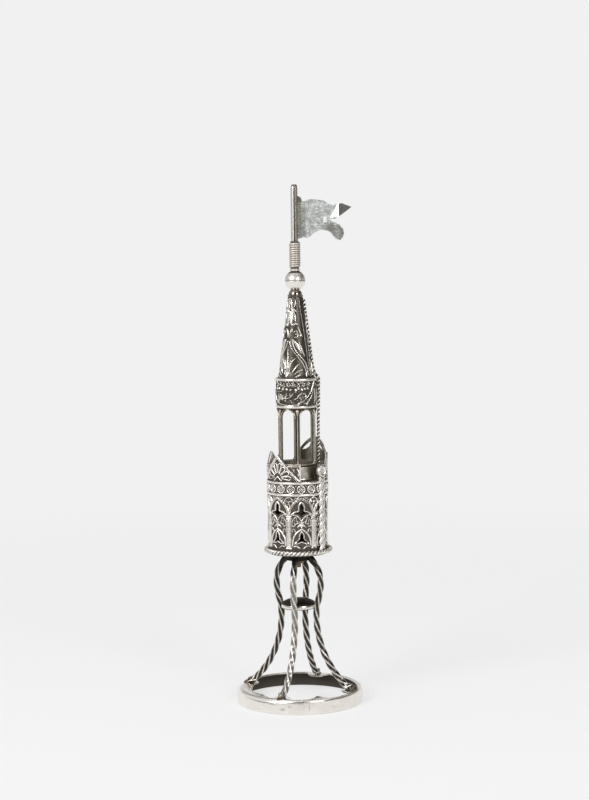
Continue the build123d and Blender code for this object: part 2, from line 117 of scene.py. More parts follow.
def maths(tree, kind, a, b):
    node = tree.nodes.new("ShaderNodeMath")
    node.operation = kind
    for socket, value in zip(node.inputs, (a, b)):
        if isinstance(value, (int, float)):
            socket.default_value = value
        else:
            tree.links.new(value, socket)
    return node.outputs[0]


def mixColour(tree, share, a, b):
    node = tree.nodes.new("ShaderNodeMix")
    node.data_type = "RGBA"
    tree.links.new(share, node.inputs["Factor"])
    for socket, value in zip((node.inputs[6], node.inputs[7]), (a, b)):
        if isinstance(value, tuple):
            socket.default_value = (*value, 1.0)
        else:
            tree.links.new(value, socket)
    return node.outputs[2]


def metalFinish(name, s):
    material = bpy.data.materials.new(name)
    material.use_nodes = True
    tree = material.node_tree
    shader = tree.nodes["Principled BSDF"]
    shader.inputs["Metallic"].default_value = 1.0
    where = tree.nodes.new("ShaderNodeTexCoord").outputs["Object"]
    stretch = tree.nodes.new("ShaderNodeMapping")
    stretch.inputs["Scale"].default_value = s["brush"]
    tree.links.new(where, stretch.inputs["Vector"])
    cloud = noiseNode(tree, where, s["cloudScale"], 5.0)
    spots = noiseNode(tree, where, s["spotScale"], 3.0)
    grain = noiseNode(tree, stretch.outputs["Vector"], s["grainScale"], 3.0)
    dents = noiseNode(tree, where, s["dentScale"], 2.0)
    # the attribute read here holds patina in hollows and painted shade; up to 1 it mixes in the patina colour
    depth = tree.nodes.new("ShaderNodeAttribute")
    depth.attribute_name = "patinaAndShade"
    loose = spread(tree, spots, -s["darkNoise"], s["darkNoise"], *s["spotRange"])
    deep = spread(tree, maths(tree, "ADD", depth.outputs["Fac"], loose), 0.0, 1.0, *s["darkRange"])
    film = spread(tree, cloud, 0.0, s["tarnish"], *s["cloudRange"])
    fleck = spread(tree, spots, 0.0, s["fleck"], *s["fleckRange"])
    colour = mixColour(tree, film, s["silver"], s["toned"])
    colour = mixColour(tree, fleck, colour, s["toned"])
    colour = mixColour(tree, deep, colour, s["patina"])
    # painted deep shade: darkness above 1.1 goes towards near black
    paintedDeepShade = spread(tree, depth.outputs["Fac"], 0.0, 1.0, *s["blackRange"])
    colour = mixColour(tree, paintedDeepShade, colour, s["black"])
    tree.links.new(colour, shader.inputs["Base Color"])
    rough = spread(tree, grain, *s["roughness"], *s["grainRange"])
    rough = maths(tree, "ADD", rough, maths(tree, "MULTIPLY", deep, s["patinaRoughness"]))
    rough = maths(tree, "ADD", rough, maths(tree, "MULTIPLY", film, s["filmRoughness"]))
    tree.links.new(rough, shader.inputs["Roughness"])
    bump = addNode(tree, "ShaderNodeBump", Strength=s["grainBump"], Distance=s["grainDepth"] * mm)
    tree.links.new(grain, bump.inputs["Height"])
    dent = addNode(tree, "ShaderNodeBump", Strength=s["dentBump"], Distance=s["dentDepth"] * mm)
    tree.links.new(dents, dent.inputs["Height"])
    tree.links.new(bump.outputs["Normal"], dent.inputs["Normal"])
    tree.links.new(dent.outputs["Normal"], shader.inputs["Normal"])
    return material


agedSilver = {
    "silver": (0.84, 0.81, 0.76), "toned": (0.42, 0.37, 0.30), "patina": (0.10, 0.088, 0.074),
    # black is the colour of painted deep shade
    "black": (0.016, 0.015, 0.013),
    "brush": (1.0, 1.0, 1.0), "cloudScale": 130.0, "spotScale": 900.0, "grainScale": 3200.0, "dentScale": 420.0,
    "darkNoise": 0.12, "darkRange": (0.1, 0.9), "tarnish": 0.45, "cloudRange": (0.42, 0.75), "fleck": 0.35,
    "roughness": (0.16, 0.3), "patinaRoughness": 0.3, "filmRoughness": 0.15,
    "grainBump": 0.25, "grainDepth": 0.03, "dentBump": 0.25, "dentDepth": 0.12,
    "spotRange": (0.25, 0.75), "fleckRange": (0.58, 0.72), "grainRange": (0.3, 0.7), "blackRange": (1.1, 2.0),
}
finishSettings = {  # what differs from agedSilver
    "stampedSilver": {
        "silver": (0.92, 0.885, 0.84), "patina": (0.112, 0.095, 0.08), "roughness": (0.24, 0.38),
        "darkRange": (0.2, 0.95), "darkNoise": 0.18, "spotScale": 1500.0,
    },
    # near-black finish for parts that sit in shade: painted shadow
    "paintedShadow": {
        "silver": (0.03, 0.028, 0.025), "toned": (0.015, 0.014, 0.012), "roughness": (0.5, 0.7),
    },
    "polishedSilver": {
        "silver": (0.90, 0.87, 0.82), "toned": (0.62, 0.55, 0.46), "tarnish": 0.35, "fleck": 0.2,
        "roughness": (0.16, 0.28), "dentBump": 0.3, "dentScale": 200.0, "dentDepth": 0.3, "grainBump": 0.08,
    },
    "ballSilver": {
        "silver": (0.90, 0.87, 0.82), "tarnish": 0.25, "fleck": 0.05, "roughness": (0.29, 0.35),
        "dentBump": 0.1, "dentScale": 300.0, "grainBump": 0.1,
    },
    "ringSilver": {
        "silver": (0.86, 0.83, 0.77), "tarnish": 0.4, "roughness": (0.28, 0.42), "dentBump": 0.3,
    },
    "coilWire": {
        "silver": (0.64, 0.59, 0.53), "toned": (0.45, 0.39, 0.33), "patina": (0.12, 0.095, 0.08),
        "tarnish": 0.15, "fleck": 0.0, "darkNoise": 0.02, "roughness": (0.46, 0.56), "dentBump": 0.02,
        "grainBump": 0.05,
    },
    "sleeveSilver": {
        "silver": (0.82, 0.79, 0.74), "toned": (0.40, 0.35, 0.29), "patina": (0.10, 0.085, 0.068), "tarnish": 0.4,
        "fleck": 0.05, "brush": (1.0, 1.0, 0.1), "darkNoise": 0.03, "roughness": (0.3, 0.4), "dentBump": 0.03,
        "grainBump": 0.1,
    },
    "capSilver": {
        "silver": (0.30, 0.26, 0.22), "toned": (0.10, 0.085, 0.07), "tarnish": 0.7,
        "cloudRange": (0.35, 0.65), "roughness": (0.12, 0.22), "dentBump": 0.1,
    },
    "twistedWire": {
        "silver": (0.84, 0.81, 0.75), "tarnish": 0.35, "cloudRange": (0.38, 0.66),
        "brush": (1.0, 1.0, 0.4), "roughness": (0.18, 0.34),
    },
    "darkWire": {
        "silver": (0.86, 0.82, 0.76), "toned": (0.38, 0.33, 0.27), "patina": (0.048, 0.043, 0.037),
        "tarnish": 0.4, "cloudRange": (0.38, 0.66), "roughness": (0.28, 0.4), "patinaRoughness": 0.06,
        "dentBump": 0.06,
    },
    "towerSilver": {
        "silver": (0.86, 0.83, 0.77), "patina": (0.088, 0.077, 0.064), "roughness": (0.18, 0.32),
        "patinaRoughness": 0.14,
    },
    "lanternSilver": {
        "silver": (0.60, 0.55, 0.47), "toned": (0.32, 0.275, 0.205), "patina": (0.06, 0.051, 0.04),
        "tarnish": 0.6, "roughness": (0.24, 0.4), "patinaRoughness": 0.15,
    },
    "flagSilver": {
        "silver": (0.86, 0.88, 0.87), "toned": (0.32, 0.345, 0.325), "patina": (0.175, 0.16, 0.14),
        "cloudScale": 560.0, "cloudRange": (0.40, 0.60), "tarnish": 0.85, "fleck": 0.6, "spotScale": 1700.0,
        "darkNoise": 0.1, "darkRange": (0.0, 1.0), "roughness": (0.28, 0.46), "brush": (0.5, 1.0, 1.4),
        "grainScale": 1300.0, "grainBump": 0.8, "grainDepth": 0.12, "patinaRoughness": 0.05,
    },
    "solder": {
        "silver": (0.42, 0.35, 0.28), "toned": (0.075, 0.055, 0.04), "tarnish": 0.95,
        "cloudScale": 520.0, "cloudRange": (0.34, 0.56), "roughness": (0.2, 0.4), "dentBump": 0.6,
    },
    "darkSilver": {
        "silver": (0.22, 0.20, 0.17), "toned": (0.09, 0.08, 0.065), "tarnish": 0.8,
        "cloudRange": (0.3, 0.6), "roughness": (0.3, 0.48),
    },
    "blackSilver": {
        "silver": (0.085, 0.078, 0.068), "toned": (0.04, 0.036, 0.03), "tarnish": 0.8,
        "cloudRange": (0.3, 0.6), "roughness": (0.3, 0.46),
    },
    "brownBrass": {
        "silver": (0.24, 0.165, 0.105), "toned": (0.09, 0.062, 0.042), "tarnish": 0.8,
        "cloudRange": (0.3, 0.6), "roughness": (0.34, 0.5),
    },
}
finishes = {name: metalFinish(name, {**agedSilver, **own}) for name, own in finishSettings.items()}
print("finishes made:", len(finishes))


# Meshes: every piece is a closed mesh in mm about the tower's axis
def makePiece(name, points, faces, body, finish, nodes=(), patinaAndShade=None, crease=48.0):
    mesh = bpy.data.meshes.new(name)
    points = np.asarray(points, float)
    if isinstance(faces, np.ndarray):  # all quads
        mesh.vertices.add(len(points))
        mesh.vertices.foreach_set("co", (points * mm).ravel())
        mesh.loops.add(faces.size)
        mesh.loops.foreach_set("vertex_index", faces.ravel().astype(np.int32))
        mesh.polygons.add(len(faces))
        mesh.polygons.foreach_set("loop_start", np.arange(0, faces.size, 4, dtype=np.int32))
        mesh.update(calc_edges=True)
    else:
        mesh.from_pydata((points * mm).tolist(), [], faces)
    dark = mesh.attributes.new("patinaAndShade", "FLOAT", "POINT")
    values = np.zeros(len(points)) if patinaAndShade is None else np.asarray(patinaAndShade, float)
    dark.data.foreach_set("value", values.astype(np.float32))
    work = bmesh.new()
    work.from_mesh(mesh)
    bmesh.ops.recalc_face_normals(work, faces=work.faces)
    work.to_mesh(mesh)
    work.free()
    mesh.polygons.foreach_set("use_smooth", np.ones(len(mesh.polygons), bool))
    mesh.set_sharp_from_angle(angle=math.radians(crease))
    mesh.materials.append(finishes[finish])
    piece = addObject(name, mesh)
    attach(piece, body)
    if nodes:
        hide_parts(*nodes)
    return piece


def smoothLine(points, steps=6):  # a smooth line through a few points
    p = np.asarray(points, float)
    if len(p) < 3:
        return p
    if np.allclose(p[0], p[-1]):
        knots = np.vstack([p[-2], p, p[1]])
    else:
        knots = np.vstack([2 * p[0] - p[1], p, 2 * p[-1] - p[-2]])
    t = (np.arange(steps) / steps)[:, None]
    spans = []
    for i in range(len(p) - 1):
        a, b, c, d = knots[i:i + 4]
        bend = (2 * a - 5 * b + 4 * c - d) * t ** 2 + (3 * b - a - 3 * c + d) * t ** 3
        spans.append(0.5 * (2 * b + (c - a) * t + bend))
    return np.vstack(spans + [p[-1:]])


def raised(u, v, strokes):  # height of a relief drawn with round-topped strokes (line, half width, height)
    height = np.zeros(len(u))
    for line, half, top in strokes:
        p = smoothLine(line)
        wide = np.atleast_1d(np.asarray(half, float))
        widths = np.interp(np.linspace(0, 1, len(p)), np.linspace(0, 1, len(wide)), wide)
        reach = widths.max()
        low, high = p.min(0) - reach, p.max(0) + reach
        near = np.nonzero((u > low[0]) & (u < high[0]) & (v > low[1]) & (v < high[1]))[0]
        if len(near) == 0:
            continue
        x, y = u[near], v[near]
        best = np.zeros(len(near))
        for a, b, wa, wb in zip(p[:-1], p[1:], widths[:-1], widths[1:]):
            d = b - a
            t = np.clip(((x - a[0]) * d[0] + (y - a[1]) * d[1]) / max(d @ d, 1e-12), 0, 1)
            away = np.hypot(x - a[0] - t * d[0], y - a[1] - t * d[1]) / np.maximum(wa + (wb - wa) * t, 1e-6)
            best = np.maximum(best, np.sqrt(np.clip(1 - away ** 2, 0, 1)))
        height[near] = np.maximum(height[near], top * best)
    return height


def mirrored(strokes):  # each stroke and its mirror image
    both = []
    for line, half, top in strokes:
        both.append((line, half, top))
        both.append(([(-x, y) for x, y in line], half, top))
    return both


def dot(x, y, radius, top):
    return ([(x, y), (x, y)], radius, top)


def ringLine(x, y, radius, start=0.0, end=360.0, count=12):
    turns = [math.radians(start + (end - start) * i / count) for i in range(count + 1)]
    return [(x + radius * math.cos(a), y + radius * math.sin(a)) for a in turns]


def outlineDistance(u, v, outline):  # signed distance to a closed outline, and the outline's nearest points
    p = np.asarray(outline, float)
    best = np.full(len(u), 1e9)
    nearU, nearV = u.copy(), v.copy()
    inside = np.zeros(len(u), bool)
    for a, b in zip(p, np.roll(p, -1, 0)):
        d = b - a
        t = np.clip(((u - a[0]) * d[0] + (v - a[1]) * d[1]) / max(d @ d, 1e-12), 0, 1)
        x, y = a[0] + t * d[0], a[1] + t * d[1]
        away = np.hypot(u - x, v - y)
        closer = away < best
        best[closer], nearU[closer], nearV[closer] = away[closer], x[closer], y[closer]
        crosses = (a[1] > v) != (b[1] > v)
        rise = d[1] if abs(d[1]) > 1e-12 else 1e-12
        inside ^= crosses & (u < a[0] + (v - a[1]) * d[0] / rise)
    return np.where(inside, -best, best), nearU, nearV


def sheetMesh(outer, inner, keep, wrap):  # two skins of one grid, closed along every edge of what is kept
    rows, across = outer.shape[:2]
    count = rows * across
    index = np.arange(count).reshape(rows, across)
    right = np.roll(index, -1, 1) if wrap else index[:, 1:]
    left = index if wrap else index[:, :-1]
    a, b, c, d = left[:-1], right[:-1], right[1:], left[1:]
    front = np.stack([a, b, c, d], -1)[keep]
    back = front[:, ::-1] + count
    none = np.zeros((1, keep.shape[1]), bool)
    below = np.vstack([none, keep[:-1]])
    above = np.vstack([keep[1:], none])
    if wrap:
        before, after = np.roll(keep, 1, 1), np.roll(keep, -1, 1)
    else:
        side = np.zeros((keep.shape[0], 1), bool)
        before, after = np.hstack([side, keep[:, :-1]]), np.hstack([keep[:, 1:], side])
    walls = []
    for open_, p, q in ((~below, a, b), (~after, b, c), (~above, c, d), (~before, d, a)):
        edge = keep & open_
        walls.append(np.stack([q[edge], p[edge], p[edge] + count, q[edge] + count], -1))
    faces = np.vstack([front, back, *walls])
    points = np.vstack([outer.reshape(-1, 3), inner.reshape(-1, 3)])
    used, renamed = np.unique(faces, return_inverse=True)
    return points[used], renamed.reshape(faces.shape), used


def around(angle, radius, z):  # angle in degrees from the front, growing to the right
    a = np.radians(angle)
    return np.stack([radius * np.sin(a), -radius * np.cos(a), z + 0 * a], -1)


def turnFrom(angle, middle):  # angle past a middle, from -180 to 180
    return (angle - middle + 180) % 360 - 180


def roundGrid(s, low, top):  # angles and levels of a sheet that goes all the way round
    angles = np.linspace(0, 360, s["columns"], endpoint=False)
    return np.meshgrid(angles, np.linspace(low, top, s["rows"]))


def softened(values, ends):  # running mean over seven points
    return np.convolve(np.pad(values, 3, ends), np.ones(7) / 7, "valid")


def ringFaces(rows, columns, start=0):  # quads between rings of points
    faces = []
    for i in range(rows - 1):
        here, above = start + i * columns, start + (i + 1) * columns
        for j in range(columns):
            k = (j + 1) % columns
            faces.append((here + j, here + k, above + k, above + j))
    return faces


def reliefRecess(height, full):  # 1 in the ground, 0 on the crests
    return np.clip(1.0 - height / full, 0.0, 1.0)


def snapTo(u, v, outline, step, skip):  # draws grid points near a hole's outline onto it
    away, nearU, nearV = outlineDistance(u, v, outline)
    snap = (np.abs(away) < 0.55 * step) & ~skip
    away = np.where(skip, 1e9, np.where(snap, 0.0, away))
    return np.where(snap, nearU, u), np.where(snap, nearV, v), away


def cellsKept(away, wrap):  # cells with at least one corner off the holes
    solid = away > 1e-6
    beside = np.roll(solid, -1, 1) if wrap else solid[:, 1:]
    here = solid if wrap else solid[:, :-1]
    return here[:-1] | here[1:] | beside[:-1] | beside[1:]


def reliefShell(name, angle, z, outside, inside, height, s, body, nodes, wrap=True, keep=None):
    outer = around(angle, outside + height, z)
    inner = around(angle, inside + 0 * z, z)
    if keep is None:
        keep = np.ones((angle.shape[0] - 1, angle.shape[1] - (not wrap)), bool)
    points, faces, used = sheetMesh(outer, inner, keep, wrap)
    dark = np.concatenate([reliefRecess(height.ravel(), s["ground"]), np.full(height.size, s["back"])])
    return makePiece(name, points, faces, body, s["finish"], nodes, dark[used])


def ripple(angle, z, amount, seed):  # slow unevenness of hand-worked sheet
    draws = np.random.default_rng(seed)
    total = np.zeros(np.broadcast(angle, z).shape)
    for waves in (2, 3, 5, 8, 13):
        phase, lean = draws.uniform(0, 6.28), draws.uniform(-0.25, 0.25)
        total = total + np.sin(np.radians(angle) * waves + phase + lean * z) / math.sqrt(waves)
    return amount * total / 2.0


def lathe(profile, steps):  # closed ring of revolution from a closed profile of (radius, z)
    p = np.asarray(profile, float)
    turns = np.arange(steps) * 360.0 / steps
    points = np.concatenate([around(np.full(len(p), t), p[:, 0], p[:, 1]) for t in turns])
    faces = []
    for i in range(steps):
        for j in range(len(p)):
            k, m = (i + 1) % steps, (j + 1) % len(p)
            faces.append((i * len(p) + j, k * len(p) + j, k * len(p) + m, i * len(p) + m))
    return points, faces


# Wires twisted round a path, with painted shade where they face each other
def strands(path, across, up, offset, radius, turnsAt, count=2, sides=10, closed=False, flat=1.0):
    points, faces, dark = [], [], []
    n = len(path)
    for k in range(count):
        phase = turnsAt * 2 * math.pi + 2 * math.pi * k / count
        spoke = np.cos(phase)[:, None] * across + np.sin(phase)[:, None] * flat * up
        centre = path + offset * spoke
        if closed:
            way = np.roll(centre, -1, 0) - np.roll(centre, 1, 0)
        else:
            way = np.gradient(centre, axis=0)
        way /= np.linalg.norm(way, axis=1)[:, None]
        out = np.cos(phase)[:, None] * across + np.sin(phase)[:, None] * up
        out -= (out * way).sum(1)[:, None] * way
        out /= np.linalg.norm(out, axis=1)[:, None]
        side = np.cross(way, out)
        start = sum(len(p) for p in points)
        for j in range(sides):
            a = 2 * math.pi * j / sides
            ring = centre + radius * (math.cos(a) * out + math.sin(a) * side)
            if flat < 1.0:
                depth = ((ring - path) * up).sum(1)
                ring = ring + ((flat * depth) - depth)[:, None] * up
            points.append(ring)
            dark.append(np.full(n, 0.5 - 0.5 * math.cos(a)))
        spans = n if closed else n - 1
        for j in range(sides):
            m = (j + 1) % sides
            for i in range(spans):
                q = (i + 1) % n
                faces.append((start + j * n + i, start + j * n + q, start + m * n + q, start + m * n + i))
        if not closed:
            faces.append(tuple(start + j * n for j in range(sides)))
            faces.append(tuple(start + j * n + n - 1 for j in range(sides)))
    return np.vstack(points), faces, np.concatenate(dark)


def uprightLevels(node, step):  # foot of an upright rope and the levels along it
    low, top = levels(node)
    return low, np.linspace(low + 0.05, top - 0.05, int((top - low) / step) + 1)


def uprightRope(low, z, reach, s, sides, flat=1.0):  # two strands up a line at one angle
    n = len(z)
    path = around(np.full(n, s["angle"]), reach, z)
    out = around(np.full(n, s["angle"]), 1.0, 0.0)
    a = math.radians(s["angle"])
    side = np.repeat([[math.cos(a), math.sin(a), 0.0]], n, 0)
    return strands(path, side, out, s["offset"], s["strand"], -(z - low) / s["pitch"], sides=sides, flat=flat)


# Foot
baseRing = {
    "columns": 720, "pad": 4.0, "padAt": 21.4, "sheet": 0.7, "bulge": 0.12, "dent": 0.16, "dentMost": 0.02,
    "lift": 0.15, "wallRows": 14, "cornerSteps": 8, "leastFlange": 0.4, "flangeShares": (0.35, 0.7, 0.93),
    "flangeFall": 0.1, "lipFall": 0.3,
    "roundEdge": [  # angle and radius of the shoulder
        (-180, 0.8), (-125, 0.8), (-108, 1.9), (-35, 1.9), (-12, 1.2), (4, 0.8), (180, 0.8),
    ],
    "inner": [  # angle and radius of the flange's inner edge
        (-180, 22.5), (-130, 22.5), (-112, 18.6), (-95, 18.0), (-80, 18.8), (-63, 19.7), (-55, 18.9), (-47, 19.1),
        (-39, 20.3), (-30, 21.2), (0, 22.0), (9, 21.5), (15, 20.0), (21, 17.2), (24, 18.4), (29, 22.2), (180, 22.5),
    ],
    # darkness here is painted shade on the curled inner edge of the flange
    "curlShade": [(20.5, 5.0, 1.7), (-46.0, 4.0, 1.2), (-60.0, 3.0, 0.7)],  # angle, width and darkness
    "stains": [  # angle, level, width, height and darkness
        (-15.7, 2.0, 1.3, 0.5, 0.55), (0.0, 4.5, 1.6, 0.35, 0.6), (-26.0, 3.7, 1.7, 0.25, 0.6),
        (-9.4, 3.1, 1.1, 0.3, 0.5), (8.3, 2.8, 0.25, 1.2, 0.5), (-21.0, 4.9, 2.2, 0.3, 0.5),
        (31.0, 2.2, 2.4, 0.25, 0.3), (-40.0, 1.2, 3.0, 0.25, 0.25), (120.0, 2.5, 3.0, 0.4, 0.35),
        (205.0, 3.0, 2.5, 0.5, 0.4),
    ],
}
legAngles = {"leg_right": -20.0, "leg_back": 70.0, "leg_left": 160.0, "leg_front": 250.0}


def facingOf(standard):  # a leg's angle from +X, as an angle from the front
    return standard + 90.0


def buildBaseRing(s):
    low, top = levels("base_ring")
    radius = outerRadius("base_ring")
    angles = np.linspace(-180, 180, s["columns"], endpoint=False)
    inner = np.interp(angles, *np.array(s["inner"], float).T)
    corner = np.interp(angles, *np.array(s["roundEdge"], float).T)
    for leg in legAngles.values():
        off = np.radians(turnFrom(angles, facingOf(leg)))
        across = s["padAt"] * np.sin(off)
        chord = np.sqrt(np.clip(s["pad"] ** 2 - across ** 2, 0, None))
        edge = s["padAt"] * np.cos(off) - chord
        touched = (np.abs(across) < s["pad"]) & (np.cos(off) > 0)
        inner = np.where(touched, np.minimum(inner, edge), inner)
    rim = radius - s["bulge"] - corner
    inner = softened(np.minimum(inner, rim - s["leastFlange"]), "wrap")
    still = 0 * angles
    rows = []
    for share in np.linspace(0, 1, s["wallRows"]):  # outer wall, then the rounded shoulder and the flange
        bow = s["bulge"] * (4 * share * (1 - share) - 1)
        rows.append((radius + bow + still, low + s["lift"] + (top - corner - low - s["lift"]) * share, still))
    for a in np.radians(np.linspace(0, 90, s["cornerSteps"])[1:]):
        rows.append((rim + corner * math.cos(a), top - corner * (1 - math.sin(a)), still))
    stained = len(rows)
    curlShade = sum(depth * np.exp(-((angles - angle) / wide) ** 2) for angle, wide, depth in s["curlShade"])
    for share in s["flangeShares"]:
        rows.append((rim + (inner - rim) * share, top - s["flangeFall"] * share + still, curlShade * share ** 2))
    under, inside = top - s["sheet"], radius - s["sheet"]
    # painted shade under the lip, the flange and down the inner wall, near black under the flange
    rows.append((inner - 0.05, top - s["lipFall"] + still, 0.5 + still))
    rows.append((inner + 0.12, under + still, 1.3 + still))
    rows.append((0.5 * (inner + inside), under + still, 1.7 + still))
    rows.append((inside - 0.25 + still, under - 0.1 + still, 1.8 + still))
    for share in np.linspace(0.12, 1, 6):  # inner wall, blackest under the flange
        rows.append((inside + still, under - (under - low - 0.1) * share + still, 1.75 - 0.6 * share + still))
    rows.append((inside + 0.2 + still, low + still, 0.6 + still))
    rows.append((radius - s["bulge"] - 0.2 + still, low + still, 0.6 + still))
    points, dark = [], []
    for i, (r, z, shade) in enumerate(rows):
        uneven = np.minimum(ripple(angles, z, s["dent"], 3), s["dentMost"])
        points.append(around(angles, np.minimum(r + uneven, radius), z))
        if i < stained:
            for angle, height, wide, tall, strength in s["stains"]:
                along = np.radians(turnFrom(angles, angle)) * radius / wide
                shade = np.maximum(shade, strength * np.exp(-along ** 2 - ((z - height) / tall) ** 2))
        dark.append(shade)
    n = len(angles)
    index = np.arange(len(rows) * n).reshape(len(rows), n)
    below, beside = np.roll(index, -1, 0), np.roll(index, -1, 1)
    faces = np.stack([index, beside, np.roll(below, -1, 1), below], -1).reshape(-1, 4)
    makePiece("baseRing", np.vstack(points), faces, "stand", "polishedSilver", ["base_ring"],
              np.concatenate(dark))


legWire = {
    "corner": 1.3, "face": 1.0, "pitch": ((0.0, 0.45, 1.0), (12.8, 22.0, 22.0)), "step": 0.4, "toe": 0.9,
    "toeBend": 3.5, "slope": 49.0, "waist": (7.2, 33.7), "bulge": (9.1, 46.5), "topBend": 13.0, "topTurn": 40.0,
    # painted light: the legs darken towards the plate as shade under the box, and the front and right legs get paler
    # faces where more light falls
    "toeRise": 1.17, "turn": {"leg_front": 7.0}, "wornAndLit": {"leg_front": 0.3, "leg_right": 0.06}, "shadowFrom": 49.0,
    "shadowFade": 8.0, "shadowMost": 0.8, "finish": "darkWire",
}


def legLine(s):  # radius, height and heading along a leg, from its toe to the plate
    toe = np.array([baseRing["padAt"], levels("base_ring")[1] + s["toeRise"]])
    slope = math.radians(s["slope"])
    drop = s["waist"][1] - toe[1] - s["toeBend"] * (1 - math.sin(slope))
    spreadOut = toe[0] - s["waist"][0] - s["toeBend"] * math.cos(slope) - s["toe"]
    lean = math.sin(slope) ** 2 - math.cos(slope) * (1 - math.cos(slope))
    flareBend = (drop * math.sin(slope) - spreadOut * math.cos(slope)) / lean
    flareRun = (spreadOut * math.sin(slope) - drop * (1 - math.cos(slope))) / lean
    rise, out = (s["bulge"][1] - s["waist"][1]) / 2, (s["bulge"][0] - s["waist"][0]) / 2
    swellBend = (rise ** 2 + out ** 2) / (2 * out)
    swellTurn = math.degrees(2 * math.atan(out / rise))
    plate = outerRadius("leg_head_plate")
    topInner = s["bulge"][0] - s["topBend"] * (1 - math.cos(math.radians(s["topTurn"])))
    topRun = (topInner - plate + 0.5) / math.sin(math.radians(s["topTurn"]))
    route = [
        (s["toe"], 0.0), (s["toeBend"], s["slope"] - 90), (flareRun, 0.0), (flareBend, -s["slope"]),
        (swellBend, -swellTurn), (swellBend, swellTurn), (s["topBend"], s["topTurn"]), (topRun, 0.0),
    ]
    x, z, heading = toe[0], toe[1], math.pi
    line = [(x, z, heading)]
    for size, turn in route:
        length = size * math.radians(abs(turn)) if turn else size
        n = max(1, math.ceil(length / s["step"]))
        d = math.radians(turn) / n
        for _ in range(n):
            x += math.cos(heading + d / 2) * length / n
            z += math.sin(heading + d / 2) * length / n
            heading += d
            line.append((x, z, heading))
    return np.array(line)


def twistedBar(path, across, up, s, turnsAt):  # a square bar twisted along its path, bright on its four edges
    # painted highlights along the four edges and painted shade across the faces
    n = len(path)
    points, dark = [], []
    for side in range(4):
        for off, shade in ((-45, 0.0), (-37, 0.3), (-25, 0.9), (0, 1.0), (25, 0.9), (37, 0.3)):
            reach = min(s["face"] / math.cos(math.radians(off)), s["corner"])
            phase = turnsAt * 2 * math.pi + math.radians(90 * side + off)
            points.append(path + reach * (np.cos(phase)[:, None] * across + np.sin(phase)[:, None] * up))
            dark.append(np.full(n, shade))
    sides = len(points)
    faces = []
    for j in range(sides):
        m = (j + 1) % sides
        faces += [(j * n + i, j * n + i + 1, m * n + i + 1, m * n + i) for i in range(n - 1)]
    faces.append(tuple(j * n for j in range(sides)))
    faces.append(tuple(j * n + n - 1 for j in range(sides)))
    return np.vstack(points), faces, np.concatenate(dark)


def buildLegs(s):
    line = legLine(s)
    run = np.concatenate([[0], np.cumsum(np.hypot(np.diff(line[:, 0]), np.diff(line[:, 1])))])
    pitch = np.interp(run / run[-1], *s["pitch"])
    twist = np.concatenate([[0], np.cumsum(np.diff(run) / pitch[1:])])
    for name, angle in legAngles.items():
        a = np.radians(angle + s["turn"].get(name, 0.0) * np.clip(2 * run / run[-1], 0, 1))
        out = np.stack([np.cos(a), np.sin(a), 0 * a], -1)
        across = np.stack([-np.sin(a), np.cos(a), 0 * a], -1)
        path = line[:, :1] * out + line[:, 1:2] * np.array([0, 0, 1.0])
        up = -np.sin(line[:, 2:3]) * out + np.cos(line[:, 2:3]) * np.array([0, 0, 1.0])
        points, faces, dark = twistedBar(path, across, up, s, -twist)
        # painted shadow under the box at the tops; the front and right legs' faces have less painted shade, as they
        # are more lit
        paintedShadow = np.clip((line[:, 1] - s["shadowFrom"]) / s["shadowFade"], 0, s["shadowMost"])
        dark = dark * (1 - s["wornAndLit"].get(name, 0.0)) + np.tile(paintedShadow, len(dark) // len(line))
        title = name.split("_")[1].capitalize()
        makePiece("twistedLeg" + title, points, faces, "stand", s["finish"], [name], dark)


waistCollar = {"rim": 1.5, "edge": 0.12, "steps": 14, "turns": 96, "finish": "polishedSilver"}


def buildWaistCollar(s):
    low, top = levels("waist_collar")
    radius = outerRadius("waist_collar")
    shoulder = low + s["rim"]
    rise = top - shoulder
    profile = [(0.02, low + 0.1), (radius - 0.35, low), (radius - 0.08, low + 0.12), (radius, low + 0.5),
               (radius, shoulder - 0.25), (radius - s["edge"], shoulder)]
    # painted shade under the rim, near black; the dome is darkened to near black as well
    dark = [1.5, 1.5, 1.2, 0.0, 0.0, 0.1]
    for share in np.linspace(0.05, 1, s["steps"]):
        a = share * math.pi / 2
        profile.append((max((radius - s["edge"]) * math.cos(a), 0.02), shoulder + rise * math.sin(a) ** 1.15))
        dark.append(1.75)
    points, faces = lathe(profile, s["turns"])
    dark = dark * s["turns"]
    makePiece("waistCollar", points, faces, "stand", s["finish"], ["waist_collar"], dark)


footSolder = {
    "sizes": {"leg_right": 1.75, "leg_back": 0.9, "leg_left": 1.05, "leg_front": 1.15}, "flow": 0.45, "seed": 40,
    "rows": 9, "columns": 18, "margin": 0.9, "outward": 0.55, "sunk": 0.06,
}


